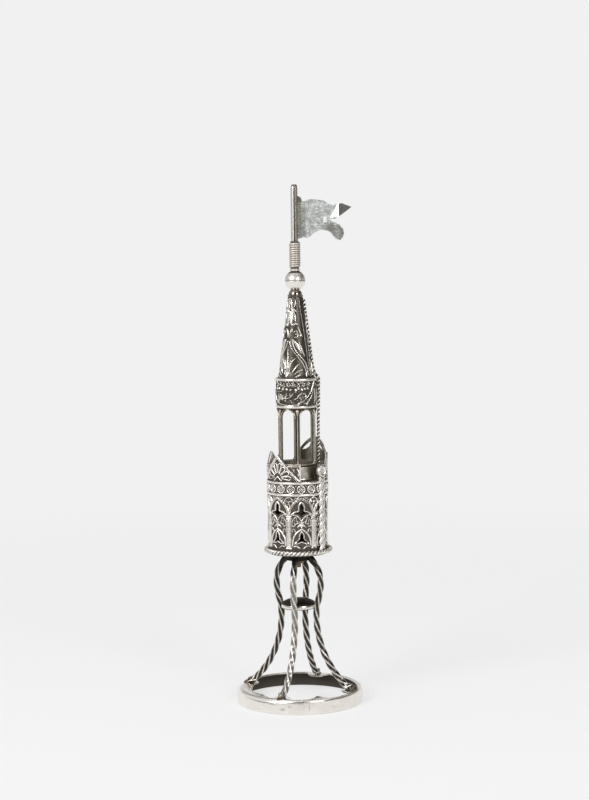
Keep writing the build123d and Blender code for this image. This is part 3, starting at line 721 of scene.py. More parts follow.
def buildFootSolder(s):
    top = levels("base_ring")[1]
    limit = outerRadius("base_ring") - s["margin"]
    points, faces, rows, columns = [], [], s["rows"], s["columns"]
    for number, (leg, size) in enumerate(s["sizes"].items()):
        draws = np.random.default_rng(s["seed"] + number)
        a = math.radians(legAngles[leg])
        out = np.array([math.cos(a), math.sin(a), 0.0])
        side = np.array([-math.sin(a), math.cos(a), 0.0])
        centre = out * (baseRing["padAt"] + s["outward"] * size)
        lobes = draws.uniform(0.8, 1.12, columns)
        start = len(points)
        for i in range(rows):
            up = math.pi / 2 * i / (rows - 1)
            for j in range(columns):
                turn = 2 * math.pi * j / columns
                reach = size * (math.cos(up) * lobes[j] * (1 + s["flow"] * (1 - math.sin(up)) ** 3) + 0.01)
                flat = centre + reach * (math.cos(turn) * out + math.sin(turn) * side)
                flat = flat * min(1.0, limit / math.hypot(flat[0], flat[1]))
                points.append((flat[0], flat[1], top - s["sunk"] + size * math.sin(up)))
        faces += ringFaces(rows, columns, start)
        faces.append(tuple(start + j for j in range(columns)))
        faces.append(tuple(start + (rows - 1) * columns + j for j in range(columns)))
    makePiece("footSolder", points, faces, "stand", "solder", ["foot_beads"])


buildBaseRing(baseRing)
buildLegs(legWire)
buildWaistCollar(waistCollar)
buildFootSolder(footSolder)
print("foot built")


# Spice box
wallDraw = {
    "columns": 440, "rows": 160, "bays": 7, "pitch": 50.0, "first": 57.2, "spareHeight": 0.1, "sunk": 0.12,
    "ripple": 0.05, "ground": 0.42, "back": 0.95, "finish": "stampedSilver",
}
bayStrokes = mirrored([
    ([(4.95, 15.1), (4.62, 17.5), (3.05, 20.1), (0, 22.05)], 0.24, 0.55),
    ([(4.5, 15.1), (4.15, 17.3), (2.7, 19.65), (0, 21.45)], 0.19, 0.46),
    ([(0, 20.35), (0.72, 19.6), (1.12, 18.4), (1.02, 17.15), (1.5, 16.75), (2.7, 16.45), (3.9, 15.6)], 0.29, 0.46),
    ([(3.9, 15.5), (2.6, 15.35), (1.5, 14.85), (0.65, 14.0), (0.15, 13.2), (0, 12.5)], 0.25, 0.42),
    ([(2.2, 14.5), (3.3, 13.6), (3.75, 11.7), (3.05, 10.9), (2.35, 11.9), (1.45, 12.3), (1.9, 13.3), (2.2, 14.5)],
     0.2, 0.32),
    ([(2.7, 13.4), (2.8, 12.4), (2.5, 11.9)], 0.16, 0.25),
    (ringLine(3.15, 9.35, 0.62, -40, 200, 6), 0.2, 0.3),
    (ringLine(2.55, 8.85, 0.35, 20, 260, 6), 0.15, 0.25),
    ([(0.35, 11.3), (1.1, 11.15), (1.75, 10.4)], (0.35, 0.3, 0.12), 0.34),
    ([(0.3, 12.2), (0.75, 12.5), (1.1, 12.9)], (0.25, 0.22, 0.1), 0.3),
    dot(0.5, 11.55, 0.4, 0.38),
    ([(3.6, 3.6), (3.3, 6.2), (2.0, 8.5), (0, 9.95)], 0.31, 0.46),
    ([(0, 9.1), (0.6, 8.3), (0.9, 7.3), (0.85, 6.55), (1.5, 5.6), (2.75, 4.45)], 0.24, 0.4),
    ([(2.75, 4.3), (1.5, 4.35), (0, 5.0)], 0.22, 0.4),
    ([(3.2, 3.15), (2.0, 3.35), (0.8, 2.5)], 0.24, 0.36),
    ([(4.97, 14.6), (4.97, 13.3)], 1.1, 0.27),
    ([(3.75, 14.85), (4.97, 14.85)], 0.2, 0.55),
    ([(3.95, 13.95), (4.97, 13.95)], 0.15, 0.5),
    ([(4.05, 13.1), (4.97, 13.1)], 0.22, 0.55),
    ([(4.97, 12.9), (4.97, 2.9)], 1.0, 0.27),
    ([(4.2, 12.8), (4.2, 2.8)], 0.15, 0.5),
    ([(4.72, 12.6), (4.72, 3.0)], 0.12, 0.42),
    ([(4.05, 3.15), (4.97, 3.15)], 0.18, 0.5),
    ([(3.9, 2.55), (4.97, 2.55)], 0.24, 0.55),
    ([(3.3, 20.3), (3.75, 21.5), (4.97, 22.3)], 0.25, 0.5),
    ([(4.97, 21.6), (4.97, 20.0)], (0.12, 0.36, 0.12), 0.4),
    ([(4.9, 20.2), (4.2, 20.7), (3.85, 20.3)], (0.2, 0.22, 0.12), 0.36),
    ([(4.97, 19.8), (4.5, 18.7), (4.97, 17.6)], 0.17, 0.3),
    ([(4.97, 17.6), (4.75, 16.6), (4.97, 15.6)], 0.17, 0.3),
    ([(1.0, 22.3), (1.7, 21.7), (2.6, 22.1)], 0.2, 0.28),
    ([(1.6, 21.0), (2.3, 20.9), (2.75, 21.4)], 0.18, 0.28),
]) + [dot(0, 11.25, 0.42, 0.46), dot(0, 12.0, 0.34, 0.4), dot(0, 10.6, 0.34, 0.4)]
upperStar = [(0.0, 19.65), (0.62, 18.9), (0.78, 18.0), (0.72, 17.0), (1.5, 16.45), (2.8, 16.2), (1.5, 15.85),
             (0.6, 15.4), (0.0, 14.65)]
lowerStar = [(0.0, 8.45), (0.5, 7.7), (0.58, 6.9), (0.55, 6.55), (1.2, 5.6), (2.1, 4.55), (1.1, 4.85), (0.0, 5.4)]


def starOutline(half):  # the right half from the top point down, and its mirror image
    left = [(-x, y) for x, y in half[-2:0:-1]]
    return half + left


def buildBoxWall(s):
    low, top = levels("box_wall")
    floorTop = levels("box_floor")[1]
    radius = outerRadius("box_floor")
    inside = outerRadius("lid_seat_ring")
    angle, z = roundGrid(s, low, top)
    shape = angle.shape
    behind = (s["first"] + s["pitch"] / 2 - angle.ravel()) % 360
    bay = np.floor(behind / s["pitch"])
    perDegree = math.pi / 180 * radius
    u = (s["pitch"] / 2 - (behind - bay * s["pitch"])) * perDegree
    v = z.ravel() - floorTop
    spare = bay >= s["bays"]
    step = max(z[1, 0] - z[0, 0], 360 / s["columns"] * perDegree)
    holes = np.full(len(u), 1e9)
    for star in (upperStar, lowerStar):
        u, v, away = snapTo(u, v, starOutline(star), step, spare)
        holes = np.minimum(holes, away)
    height = np.where(spare, s["spareHeight"], raised(u, v, bayStrokes)).reshape(shape)
    snapped = s["first"] + s["pitch"] / 2 - bay * s["pitch"] - (s["pitch"] / 2 - u / perDegree)
    snapped = snapped.reshape(shape)
    level = (v + floorTop).reshape(shape)
    uneven = ripple(angle, z, s["ripple"], 11)
    keep = cellsKept(holes.reshape(shape), True)
    outside = radius - s["sunk"] + np.minimum(uneven, s["ripple"])
    reliefShell("archedWall", snapped, level, outside, inside, height, s, "stand", ["box_wall"], keep=keep)


ropeRim = {"strand": 0.5, "offset": 0.44, "twists": 24, "perTwist": 18}


def buildRopeRim(s):
    low, top = levels("rope_rim")
    centre = outerRadius("rope_rim") - (top - low) / 2
    n = s["twists"] * s["perTwist"]
    angles = np.arange(n) * 360.0 / n
    path = around(angles, centre, (low + top) / 2)
    across = around(angles, 1.0, 0.0)
    up = np.repeat([[0.0, 0.0, 1.0]], n, 0)
    turns = np.arange(n) / s["perTwist"]
    points, faces, dark = strands(path, across, up, s["offset"], s["strand"], turns, closed=True)
    makePiece("ropeRim", points, faces, "stand", "twistedWire", ["rope_rim"], dark)


rosetteBand = {
    "count": 18, "first": 7.0, "columns": 720, "rows": 44, "wire": 0.5, "sheet": 0.15, "ground": 0.34, "back": 0.8,
    "finish": "stampedSilver",
}
rosetteStrokes = [(ringLine(0, 0, 1.42, count=16), 0.24, 0.4), dot(0, 0, 0.3, 0.34)]
for x, y in ((1, 1), (-1, 1), (-1, -1), (1, -1)):  # the four corners
    rosetteStrokes.append(([(0.78 * x, 0), (0, 0.78 * y)], 0.16, 0.36))
    rosetteStrokes.append(dot(0.74 * x, 0.74 * y, 0.2, 0.36))
    rosetteStrokes.append(dot(2.02 * x, 1.2 * y, 0.26, 0.22))


def buildRosetteBand(s):
    low, top = levels("rosette_band")
    radius = outerRadius("box_floor")
    angle, z = roundGrid(s, low, top)
    pitch = 360.0 / s["count"]
    off = (angle - s["first"] + pitch / 2) % pitch - pitch / 2
    u = (np.radians(off) * radius).ravel()
    v = (z - (low + top) / 2).ravel()
    height = raised(u, v, rosetteStrokes).reshape(angle.shape)
    for edge in (low + s["wire"], top - s["wire"]):
        bead = np.sqrt(np.clip(s["wire"] ** 2 - (z - edge) ** 2, 0, None))
        height = np.maximum(height, bead * (1 + 0.04 * np.sin(np.radians(angle) * 23 + edge)))
    height = np.minimum(height, s["wire"])
    reliefShell("rosetteBand", angle, z, radius + s["sheet"], radius + 0.02, height, s, "stand", ["rosette_band"])


gallery = {
    "start": 6.5, "end": 46.0, "gables": [-41.0, -117.0, 92.0], "flat": 6.0, "half": 9.3, "columns": 640,
    "rows": 80, "endBeads": ((0.4, 0.7), (0.5, 0.6)), "ground": 0.36, "back": 0.0, "finish": "stampedSilver",
}


def petal(tip, wide):  # a long loop from the fan's root to its tip
    root = np.array([0.0, 1.4])
    way = np.array(tip) - root
    side = np.array([way[1], -way[0]]) / math.hypot(*way)
    marks = ((0.34, 0.16), (0.64, 0.42), (0.86, 0.5), (0.97, 0.3))
    right = [root + way * t + side * wide * w for t, w in marks]
    left = [root + way * t - side * wide * w for t, w in reversed(marks)]
    return [tuple(p) for p in [*right, np.array(tip), *left]]


gableStrokes = mirrored([
    ([(0, 9.6), (4.45, 4.75), (8.85, 0.05)], 0.34, 0.5),
    ([(0, 8.75), (4.0, 4.4), (8.0, 0.05)], 0.15, 0.38),
    ([(1.75, 0.15), (0.9, 0.95), (0, 1.75)], 0.25, 0.44),
    (petal((1.2, 6.75), 1.45), 0.21, 0.44), (petal((2.95, 5.25), 1.55), 0.21, 0.44),
    (petal((4.75, 3.3), 1.6), 0.21, 0.44), (petal((5.7, 1.15), 1.3), 0.2, 0.42),
    ([(4.4, 5.65), (10.0, 5.65), (16.0, 5.65)], 0.2, 0.36),
    ([(8.45, 1.7), (8.75, 3.5), (7.9, 5.1)], (0.15, 0.36, 0.12), 0.42),
    ([(7.0, 3.4), (6.75, 4.4), (6.0, 5.1)], (0.12, 0.26, 0.1), 0.36),
    ([(10.5, 0.4), (10.5, 5.4)], 0.28, 0.42),
    ([(11.6, 0.8), (12.3, 3.0), (11.6, 5.1)], (0.15, 0.36, 0.12), 0.4),
    ([(13.6, 0.8), (12.9, 3.0), (13.6, 5.1)], (0.15, 0.36, 0.12), 0.4),
    ([(14.7, 0.4), (14.7, 5.4)], 0.28, 0.42),
])


def buildGallery(s):
    low, tip = levels("gallery")
    radius = outerRadius("box_floor")
    inside = outerRadius("lid_seat_ring")
    rise = tip - low
    angles = np.linspace(s["end"], s["start"] + 360, s["columns"])
    angle, part = np.meshgrid(angles, np.linspace(0, 1, s["rows"]))
    perDegree = math.pi / 180 * radius
    u = np.full(angle.shape, 1e3)
    for gable in s["gables"]:
        off = turnFrom(angle, gable) * perDegree
        u = np.where(np.abs(off) < np.abs(u), off, u)
    v = np.maximum(s["flat"], rise * (1 - np.abs(u) / s["half"])) * part
    height = raised(u.ravel(), v.ravel(), gableStrokes).reshape(u.shape)
    for past, (tall, wide) in zip((angle - angles[0], angles[-1] - angle), s["endBeads"]):
        height = np.maximum(height, tall * np.sqrt(np.clip(1 - (past * perDegree / wide) ** 2, 0, 1)))
    reliefShell("gableGallery", angle, low + v, radius - 0.05, inside, height, s, "stand", ["gallery"], False)


seamRope = {"strand": 0.86, "offset": 0.84, "pitch": 6.0, "depth": 0.75, "angle": 50.0, "step": 0.25}


def buildSeamRope(s):
    low, z = uprightLevels("box_seam_rope", s["step"])
    flat = s["depth"] / (s["strand"] + s["offset"])
    points, faces, dark = uprightRope(low, z, outerRadius("box_floor") + s["depth"], s, 16, flat)
    makePiece("seamRope", points, faces, "stand", "stampedSilver", ["box_seam_rope"], 0.75 * dark)


# painted shade: the rear gable stands in shade behind the lantern and takes the darker lantern finish
rearGable = {
    "angle": 141.5, "half": 9.4, "bow": 7.36, "columns": 150, "rows": 60, "snap": 0.13, "ground": 0.3, "back": 0.55,
    "finish": "lanternSilver",
}
rearHole = [(1.6, 7.1), (2.7, 6.7), (4.6, 5.1), (5.5, 4.0), (4.2, 4.1), (2.4, 5.2)]


def buildRearGable(s):
    low, tip = levels("rear_gable")
    rise = tip - low
    radius = outerRadius("box_floor")
    inside = outerRadius("lid_seat_ring")
    u, part = np.meshgrid(np.linspace(-s["half"], s["half"], s["columns"]), np.linspace(0, 1, s["rows"]))
    x = np.abs(u) / s["half"]
    edge = np.maximum(rise * (1 - x) + s["bow"] * x * (1 - x), 0.02)
    v = edge * part
    flatU, flatV = u.ravel(), v.ravel()
    away = np.full(u.size, 1e9)
    for side in (-1, 1):
        hole = [(side * a, b) for a, b in rearHole]
        flatU, flatV, off = snapTo(flatU, flatV, hole, s["snap"], np.zeros(u.size, bool))
        away = np.minimum(away, off)
    strokes = mirrored([
        ([(0, 9.0), (2.8, 7.7), (5.8, 4.9), (9.0, 0.3)], 0.4, 0.42),
        ([(0, 7.6), (2.4, 6.4), (5.0, 4.0)], 0.2, 0.3),
        ([(0.2, 1.0), (1.3, 3.4), (0.9, 6.0)], (0.2, 0.5, 0.15), 0.36),
        ([(1.2, 0.8), (3.4, 2.4), (4.6, 3.6)], (0.2, 0.5, 0.15), 0.36),
        ([(2.4, 0.5), (5.0, 1.3), (6.6, 1.9)], (0.2, 0.45, 0.15), 0.34),
    ]) + [([(0, 0.8), (0, 6.6)], (0.3, 0.5, 0.2), 0.4)]
    height = raised(flatU, flatV, strokes).reshape(u.shape)
    angle = s["angle"] + np.degrees(flatU.reshape(u.shape) / radius)
    reliefShell("rearGable", angle, low + flatV.reshape(u.shape), radius - 0.05, inside, height, s, "stand",
                ["rear_gable"], False, cellsKept(away.reshape(u.shape), False))


seamButton = {"angle": 50.0, "turns": 48, "finish": "stampedSilver"}


def buildSeamButton(s):
    low, top = levels("seam_button")
    size = (top - low) / 2
    ground = outerRadius("box_floor")
    profile = [(0.02, 1.5), (0.3, 1.47), (0.52, 1.3), (0.66, 0.98), (1.1, 0.92), (1.3, 1.08), (1.52, 1.42),
               (1.8, 1.48), (2.05, 1.3), (2.22, 0.9), (size, 0.4), (size, -0.1), (0.02, -0.1)]
    dark = [0.7, 0.2, 0.1, 0.45, 0.4, 0.25, 0.0, 0.0, 0.1, 0.4, 0.7, 0.8, 0.8]
    points, faces = lathe(profile, s["turns"])
    a = math.radians(s["angle"])
    side = np.array([math.cos(a), math.sin(a), 0.0])
    out = np.array([math.sin(a), -math.cos(a), 0.0])
    centre = out * ground + np.array([0, 0, (low + top) / 2])
    points = centre + points[:, :1] * side + points[:, 1:2] * np.array([0, 0, 1.0]) + points[:, 2:] * out
    makePiece("seamButton", points, faces, "stand", s["finish"], ["seam_button"],
              dark * s["turns"])


buildBoxWall(wallDraw)
buildRopeRim(ropeRim)
buildRosetteBand(rosetteBand)
buildGallery(gallery)
buildSeamRope(seamRope)
buildRearGable(rearGable)
buildSeamButton(seamButton)
print("spice box built")


# Tower
lantern = {
    "radius": 7.5, "sheet": 0.6, "windows": 6, "turn": 2.0, "half": 2.95, "sill": 6.2, "rise": 20.8, "jamb": 0.18,
    "plain": 0.2, "columns": 384, "rows": 150, "ground": 0.26, "back": 0.4, "finish": "lanternSilver",
}


def buildLantern(s):
    low, top = levels("lantern")
    radius = s["radius"]
    angle, z = roundGrid(s, low, top)
    shape = angle.shape
    pitch = 360.0 / s["windows"]
    count = np.floor((angle - s["turn"]) / pitch)
    middle = s["turn"] + (count + 0.5) * pitch
    u = (np.radians(angle - middle) * radius).ravel()
    v = (z - low).ravel()
    spring = s["sill"] + s["rise"] - s["half"]
    outline = [(s["half"], s["sill"]), *ringLine(0, spring, s["half"], 0, 180, 16), (-s["half"], s["sill"])]
    u, v, away = snapTo(u, v, outline, z[1, 0] - z[0, 0], np.zeros(len(u), bool))
    edge = math.radians(pitch / 2) * radius
    jamb = s["half"] + s["jamb"]
    strokes = mirrored([
        ([(jamb, s["sill"]), (jamb, spring)], 0.15, 0.22),
        (ringLine(0, spring, jamb + 0.05, 0, 90, 8), 0.2, 0.34),
        ([(edge, s["sill"] + 0.3), (edge, spring + 0.4)], 0.24, 0.36),
        ([(edge, spring + 0.1), (edge, spring + 1.3), (edge, spring + 2.5)], (0.12, 0.32, 0.62), 0.42),
        ([(0, s["sill"] - 0.2), (edge, s["sill"] - 0.2)], 0.24, 0.34),
        ([(0, s["sill"] - 0.85), (edge, s["sill"] - 0.85)], 0.14, 0.2),
        ([(0, 0.35), (edge, 0.35)], 0.3, 0.3),
        ([(edge, s["sill"] - 0.3), (edge, s["sill"] + 1.3)], (0.5, 0.3), 0.36),
    ])
    height = raised(u, v, strokes).reshape(shape)
    plain = s["plain"] * ((v > 0.6) & (v < s["sill"] - 1.0)).reshape(shape)
    height = np.maximum(height, plain)
    snapped = middle + np.degrees(u.reshape(shape) / radius)
    keep = cellsKept(away.reshape(shape), True)
    level = v.reshape(shape) + low
    reliefShell("roundHeadedLantern", snapped, level, radius, radius - s["sheet"], height, s, "tower", ["lantern"],
                keep=keep)


drum = {
    "low": 7.85, "sheet": 0.55, "sunk": 0.18, "ripple": 0.05, "columns": 640, "rows": 110, "turn": -12.0,
    "ground": 0.4, "back": 0.9, "finish": "towerSilver",
}
drumStrokes = [
    ([(9.6, 9.6), (8.9, 7.9), (8.1, 6.1), (7.1, 4.6), (5.8, 3.2), (4.5, 2.1), (3.3, 1.25), (2.4, 0.75), (0, 0.25)],
     0.2, 0.46),
    ([(-9.4, 9.6), (-8.7, 6.6), (-8.3, 3.6), (-7.4, 1.8), (-5.6, 0.8), (-3.4, 0.4), (0, 0.25)], 0.2, 0.46),
    ([(8.9, 6.2), (8.3, 4.3), (7.3, 2.6), (6.3, 1.3), (5.8, 0.5)], 0.16, 0.36),
    ([(4.4, 1.2), (5.4, 0.9), (6.4, 1.6)], (0.2, 0.3, 0.1), 0.3),
    ([(1.9, 0.3), (2.6, 0.75), (3.2, 1.3)], (0.3, 0.5, 0.2), 0.48),
    ([(-6.6, 1.9), (-5.4, 3.3), (-4.2, 2.6)], (0.4, 1.1, 0.5), 0.3),
    ([(-3.4, 3.0), (-2.6, 3.7), (-1.6, 4.4)], (0.2, 0.28, 0.1), 0.48),
    ([(-3.0, 2.8), (-1.9, 3.0), (-0.8, 3.3), (0.2, 4.4), (0.5, 5.3)], (0.28, 0.2, 0.17, 0.17, 0.1), 0.46),
    ([(-2.2, 3.8), (-2.4, 4.6), (-1.9, 5.1)], (0.1, 0.2, 0.1), 0.38),
    ([(-0.6, 3.6), (-0.9, 4.5), (-0.4, 5.2)], (0.1, 0.18, 0.1), 0.36),
    ([(2.1, 3.6), (2.7, 4.4), (3.6, 4.9), (4.7, 4.9), (5.4, 4.2), (5.1, 3.4)], 0.15, 0.42),
    ([(2.5, 3.5), (3.0, 4.1), (3.8, 4.4), (4.5, 4.2)], 0.12, 0.38),
    ([(1.2, 2.6), (1.9, 3.0), (2.3, 3.7)], (0.1, 0.2, 0.1), 0.38),
]
for spot in (2.6, 3.1, 3.65, 4.2):  # fingers under the scroll
    drumStrokes.append(([(spot, 3.7), (spot + 0.1, 3.2), (spot, 2.7)], (0.1, 0.16, 0.08), 0.38))
jitter = np.random.default_rng(23)
garland = [(-6.93, 0.5), (-5.78, 0.55), (-3.96, 0.58), (-2.19, 0.55), (-0.6, 0.5), (1.51, 0.62), (2.56, 0.5),
           (3.85, 0.6), (5.06, 0.52), (6.38, 0.48)]
for spot, size in garland:  # beads, and a curl above each
    drumStrokes.append(dot(spot, 6.5 + jitter.uniform(-0.35, 0.3), size, 0.52))
    x, y = spot + jitter.uniform(0.3, 1.0), 8.1 + jitter.uniform(-0.5, 0.5)
    first = jitter.uniform(0, 360)
    drumStrokes.append((ringLine(x, y, jitter.uniform(0.4, 0.7), first, first + 170, 6), 0.16, 0.4))
drumStrokes += [dot(-2.2 + 0.5 * i, 1.7 - 0.08 * i, 0.18, 0.36) for i in range(7)]
drumStrokes += [dot(x, y, 0.24, 0.32) for x, y in jitter.uniform((-7.0, 1.2), (6.6, 5.6), (60, 2))]
drumStrokes += [dot(x, y, 0.26, 0.36) for x, y in jitter.uniform((-7.6, 7.3), (7.4, 9.2), (46, 2))]
drumStrokes += [dot(0.35, 8.2, 0.34, 0.48), dot(2.7, 8.6, 0.32, 0.48), dot(-1.1, 7.5, 0.26, 0.44)]
for spot in (9.8, 11.4, -10.4):  # leaves at the sides
    drumStrokes.append(([(spot, 0.9), (spot + 0.5, 3.4), (spot - 0.2, 6.4)], (0.2, 0.5, 0.15), 0.34))
drumStrokes += [dot(10.6, 8.2, 0.4, 0.4), dot(-10.6, 8.0, 0.4, 0.4)]


def buildDrum(s):
    low, top = levels("frieze_drum")
    high = outerRadius("frieze_drum")
    angle, z = roundGrid(s, low, top)
    outside = s["low"] + (high - s["low"]) * (z - low) / (top - low)
    off = (angle - s["turn"] + 90) % 180 - 90
    u = (np.radians(off) * outside).ravel()
    height = raised(u, (z - low).ravel(), drumStrokes).reshape(angle.shape)
    uneven = np.minimum(ripple(angle, z, s["ripple"], 21), s["ripple"])
    reliefShell("friezeDrum", angle, z, outside - s["sunk"] + uneven, outside - s["sheet"], height, s, "tower",
                ["frieze_drum"])


ringMoulding = {"wide": 1.0, "bulge": 0.35, "arc": 1.2, "arcRows": 9, "turns": 144, "finish": "ringSilver"}


def buildRing(name, node, s):  # narrow bright moulding with a soft edge
    low, top = levels(node)
    radius = outerRadius(node)
    inside, flat = radius - s["wide"], radius - s["bulge"]
    half = (top - low) / 2
    profile = [(inside, low), (flat, low)]
    for a in np.linspace(-s["arc"], s["arc"], s["arcRows"]):
        profile.append((flat + s["bulge"] * math.cos(a), low + half + half * math.sin(a)))
    profile += [(flat, top), (inside, top)]
    points, faces = lathe(profile, s["turns"])
    makePiece(name, points, faces, "tower", s["finish"], [node])


spire = {
    "bend": (6.3, 3.5), "flare": 2.2, "tip": 2.9, "sheet": 0.55, "sunk": 0.14, "ripple": 0.06, "columns": 420,
    "rows": 190, "turn": -33.0, "ground": 0.36, "back": 0.9, "finish": "towerSilver",
}
spireStrokes = mirrored([  # degrees from the pattern's middle, mm above the foot
    ([(0, 1.0), (1, 4.0), (0, 12.2)], (0.45, 0.5, 0.12), 0.46),
    ([(8, 1.6), (9, 3.4), (13, 5.6), (22, 7.0), (36, 7.9)], (0.2, 0.28, 0.28, 0.24, 0.1), 0.42),
    ([(5, 3.6), (10, 6.4), (20, 8.6)], (0.1, 0.2, 0.08), 0.34),
    ([(18, 2.0), (27, 3.6), (38, 4.9), (49, 5.8)], (0.16, 0.28, 0.26, 0.1), 0.42),
    ([(24, 1.3), (40, 2.7), (58, 3.5)], (0.16, 0.28, 0.1), 0.42),
    ([(28, 0.5), (42, 1.2), (54, 1.6)], (0.16, 0.26, 0.1), 0.38),
    ([(4, 14.2), (12, 12.0), (24, 10.3), (39, 8.5), (53, 6.6), (63, 4.7), (69, 3.1), (68, 0.9)], 0.2, 0.42),
    ([(17, 14.8), (21, 13.0), (28, 11.3), (41, 9.5), (58, 7.6), (70, 5.8), (76, 3.6)], 0.24, 0.48),
    ([(4, 15.8), (6, 17.4), (12, 18.6), (20, 18.9)], (0.2, 0.24, 0.24, 0.15), 0.44),
    dot(12, 18.2, 0.6, 0.3),
    ([(24, 17.6), (34, 18.2), (44, 17.0), (40, 15.8), (30, 15.7)], 0.22, 0.46),
    ([(30, 16.9), (36, 17.0), (38, 16.5)], 0.2, 0.4),
    ([(46, 19.4), (54, 17.8), (60, 16.6)], (0.1, 0.34, 0.15), 0.46),
    ([(48, 16.2), (58, 16.4), (66, 15.9)], (0.1, 0.3, 0.1), 0.44),
    ([(22, 14.6), (40, 12.6), (56, 9.6)], (0.3, 0.75, 0.2), 0.38),
    ([(48, 13.6), (58, 11.2), (68, 8.4)], (0.2, 0.5, 0.15), 0.38),
    ([(28, 20.0), (18, 20.6), (10, 20.2)], (0.15, 0.34, 0.15), 0.4),
    ([(44, 20.4), (33, 20.9), (26, 20.6)], (0.15, 0.3, 0.15), 0.36),
    ([(8, 21.0), (7, 23.0), (3, 25.6)], (0.45, 0.55, 0.15), 0.42),
    ([(32, 21.4), (31, 23.0), (30, 24.6)], (0.2, 0.44, 0.15), 0.42),
    ([(12, 25.4), (26, 26.2), (40, 25.2)], (0.15, 0.3, 0.15), 0.4),
    ([(6, 26.4), (8, 28.4), (4, 30.4)], (0.2, 0.42, 0.15), 0.4),
    ([(26, 27.2), (34, 28.8), (30, 30.2)], (0.15, 0.34, 0.15), 0.4),
    ([(86, 0.8), (84, 6.2), (81, 12.0), (78, 17.3), (72, 22.0), (64, 27.0), (60, 30.6)], 0.13, 0.26),
    ([(80, 1.2), (76, 2.6), (84, 4.0)], (0.1, 0.3, 0.1), 0.34),
]) + [
    ([(-26, 3.0), (-34, 8.0), (-24, 13.6)], (0.7, 1.25, 0.4), 0.25),  # brighter left side: less patina there, and a painted highlight of the left lamp
    ([(-52, 4.0), (-56, 10.0), (-44, 16.0)], (0.7, 1.3, 0.5), 0.25),
    ([(-14, 20.5), (-20, 25.0), (-16, 30.0)], (0.7, 0.9, 0.7), 0.25),
    ([(14, 22.0), (16, 24.6), (10, 27.0)], (0.5, 0.8, 0.4), 0.25),
]


def buildSpire(s):
    low, top = levels("spire")
    foot = outerRadius("spire")
    bendAt, bendUp = s["bend"]

    def radiusAt(t):
        flare = bendAt + (foot - bendAt) * np.clip(1 - t / bendUp, 0, 1) ** s["flare"]
        return flare + (s["tip"] - bendAt) * np.clip((t - bendUp) / (top - low - bendUp), 0, 1)

    angle, t = roundGrid(s, 0, top - low)
    outside = radiusAt(t)
    off = (angle - s["turn"] + 90) % 180 - 90
    u = (np.radians(off) * outside).ravel()
    drawn = []
    for line, half, height in spireStrokes:
        drawn.append(([(math.radians(x) * float(radiusAt(y)), y) for x, y in line], half, height))
    height = raised(u, t.ravel(), drawn).reshape(angle.shape)
    uneven = np.minimum(ripple(angle, t, s["ripple"], 33), s["ripple"])
    reliefShell("reliefSpire", angle, t + low, outside - s["sunk"] + uneven, outside - s["sheet"], height, s, "tower",
                ["spire"])


seamWire = {
    "strand": 0.34, "offset": 0.32, "pitch": 3.0, "angle": 82.0, "step": 0.16,
    "line": [(92.6, 8.35), (111.0, 8.35), (114.7, 8.55), (126.0, 8.7), (127.0, 7.9), (128.2, 7.0),
             (130.4, 6.4), (157.2, 3.05)],
}


def buildSeamWire(s):
    low, z = uprightLevels("tower_seam_wire", s["step"])
    reach = softened(np.interp(z, *np.array(s["line"]).T), "edge")
    points, faces, dark = uprightRope(low, z, reach, s, 8)
    # painted shade between the strands, strong enough to go near black
    makePiece("towerSeamWire", points, faces, "tower", "twistedWire", ["tower_seam_wire"], 1.7 * dark)


ballShell = {
    "sheet": 0.5, "hole": 0.85, "edge": 0.1, "outerRows": 24, "innerRows": 12, "turns": 72,
    # the last entry sets the upper half's painted shade and reflection, row by row
    "upperShade": ((0, 13, 17, 23), (0.3, 0.45, 1.5, 2.0)),
}


def buildBall(s):
    centre = levels("ball_lower_half")[1]
    radius = outerRadius("ball_lower_half")
    inner = radius - s["sheet"]
    outerTurns = np.linspace(0.03, math.acos(s["hole"] / radius), s["outerRows"])
    innerTurns = np.linspace(math.acos(s["hole"] / inner), 0.0, s["innerRows"])
    for name, node, way in (("ballLower", "ball_lower_half", -1), ("ballUpper", "ball_upper_half", 1)):
        profile = [(radius * math.cos(a), centre + way * radius * math.sin(a)) for a in outerTurns]
        profile += [(inner * math.cos(a), centre + way * inner * math.sin(a)) for a in innerTurns]
        profile.append((radius - s["edge"], centre))
        points, faces = lathe(profile, s["turns"])
        # painted shade and reflection: the upper half darkens towards the top, near black under the coil; the lower
        # half is only a little darker near the equator
        skin = np.interp(np.arange(s["outerRows"]), *s["upperShade"])
        if way < 0:
            skin = np.linspace(0.12, 0.0, s["outerRows"])
        dark = [0.5, *skin[1:], *[0.5] * s["innerRows"], 0.8]
        makePiece(name, points, faces, "tower", "ballSilver", [node], dark * s["turns"])


coilCollar = {"wire": 0.43, "turns": 11, "perTurn": 24, "start": 180.0}


def buildCoil(s):
    low, top = levels("coil_collar")
    radius = outerRadius("coil_collar") - s["wire"]
    n = s["turns"] * s["perTurn"] + 1
    turns = np.linspace(0, s["turns"], n)
    z = low + s["wire"] + (top - low - 2 * s["wire"]) * turns / s["turns"]
    path = around(s["start"] + 360.0 * turns, radius, z)
    out = around(s["start"] + 360.0 * turns, 1.0, 0.0)
    up = np.repeat([[0.0, 0.0, 1.0]], n, 0)
    points, faces, dark = strands(path, out, up, 0.0, s["wire"], np.zeros(n), count=1)
    # painted shade between the turns and on the side facing the axis, near black there
    makePiece("woundCollar", points, faces, "tower", "coilWire", ["coil_collar"], 1.5 * dark)


buildLantern(lantern)
buildRing("drumLowerRing", "drum_lower_ring", ringMoulding)
buildDrum(drum)
buildRing("drumUpperRing", "drum_upper_ring", ringMoulding)
buildSpire(spire)
buildSeamWire(seamWire)
buildBall(ballShell)
buildCoil(coilCollar)
print("tower built")


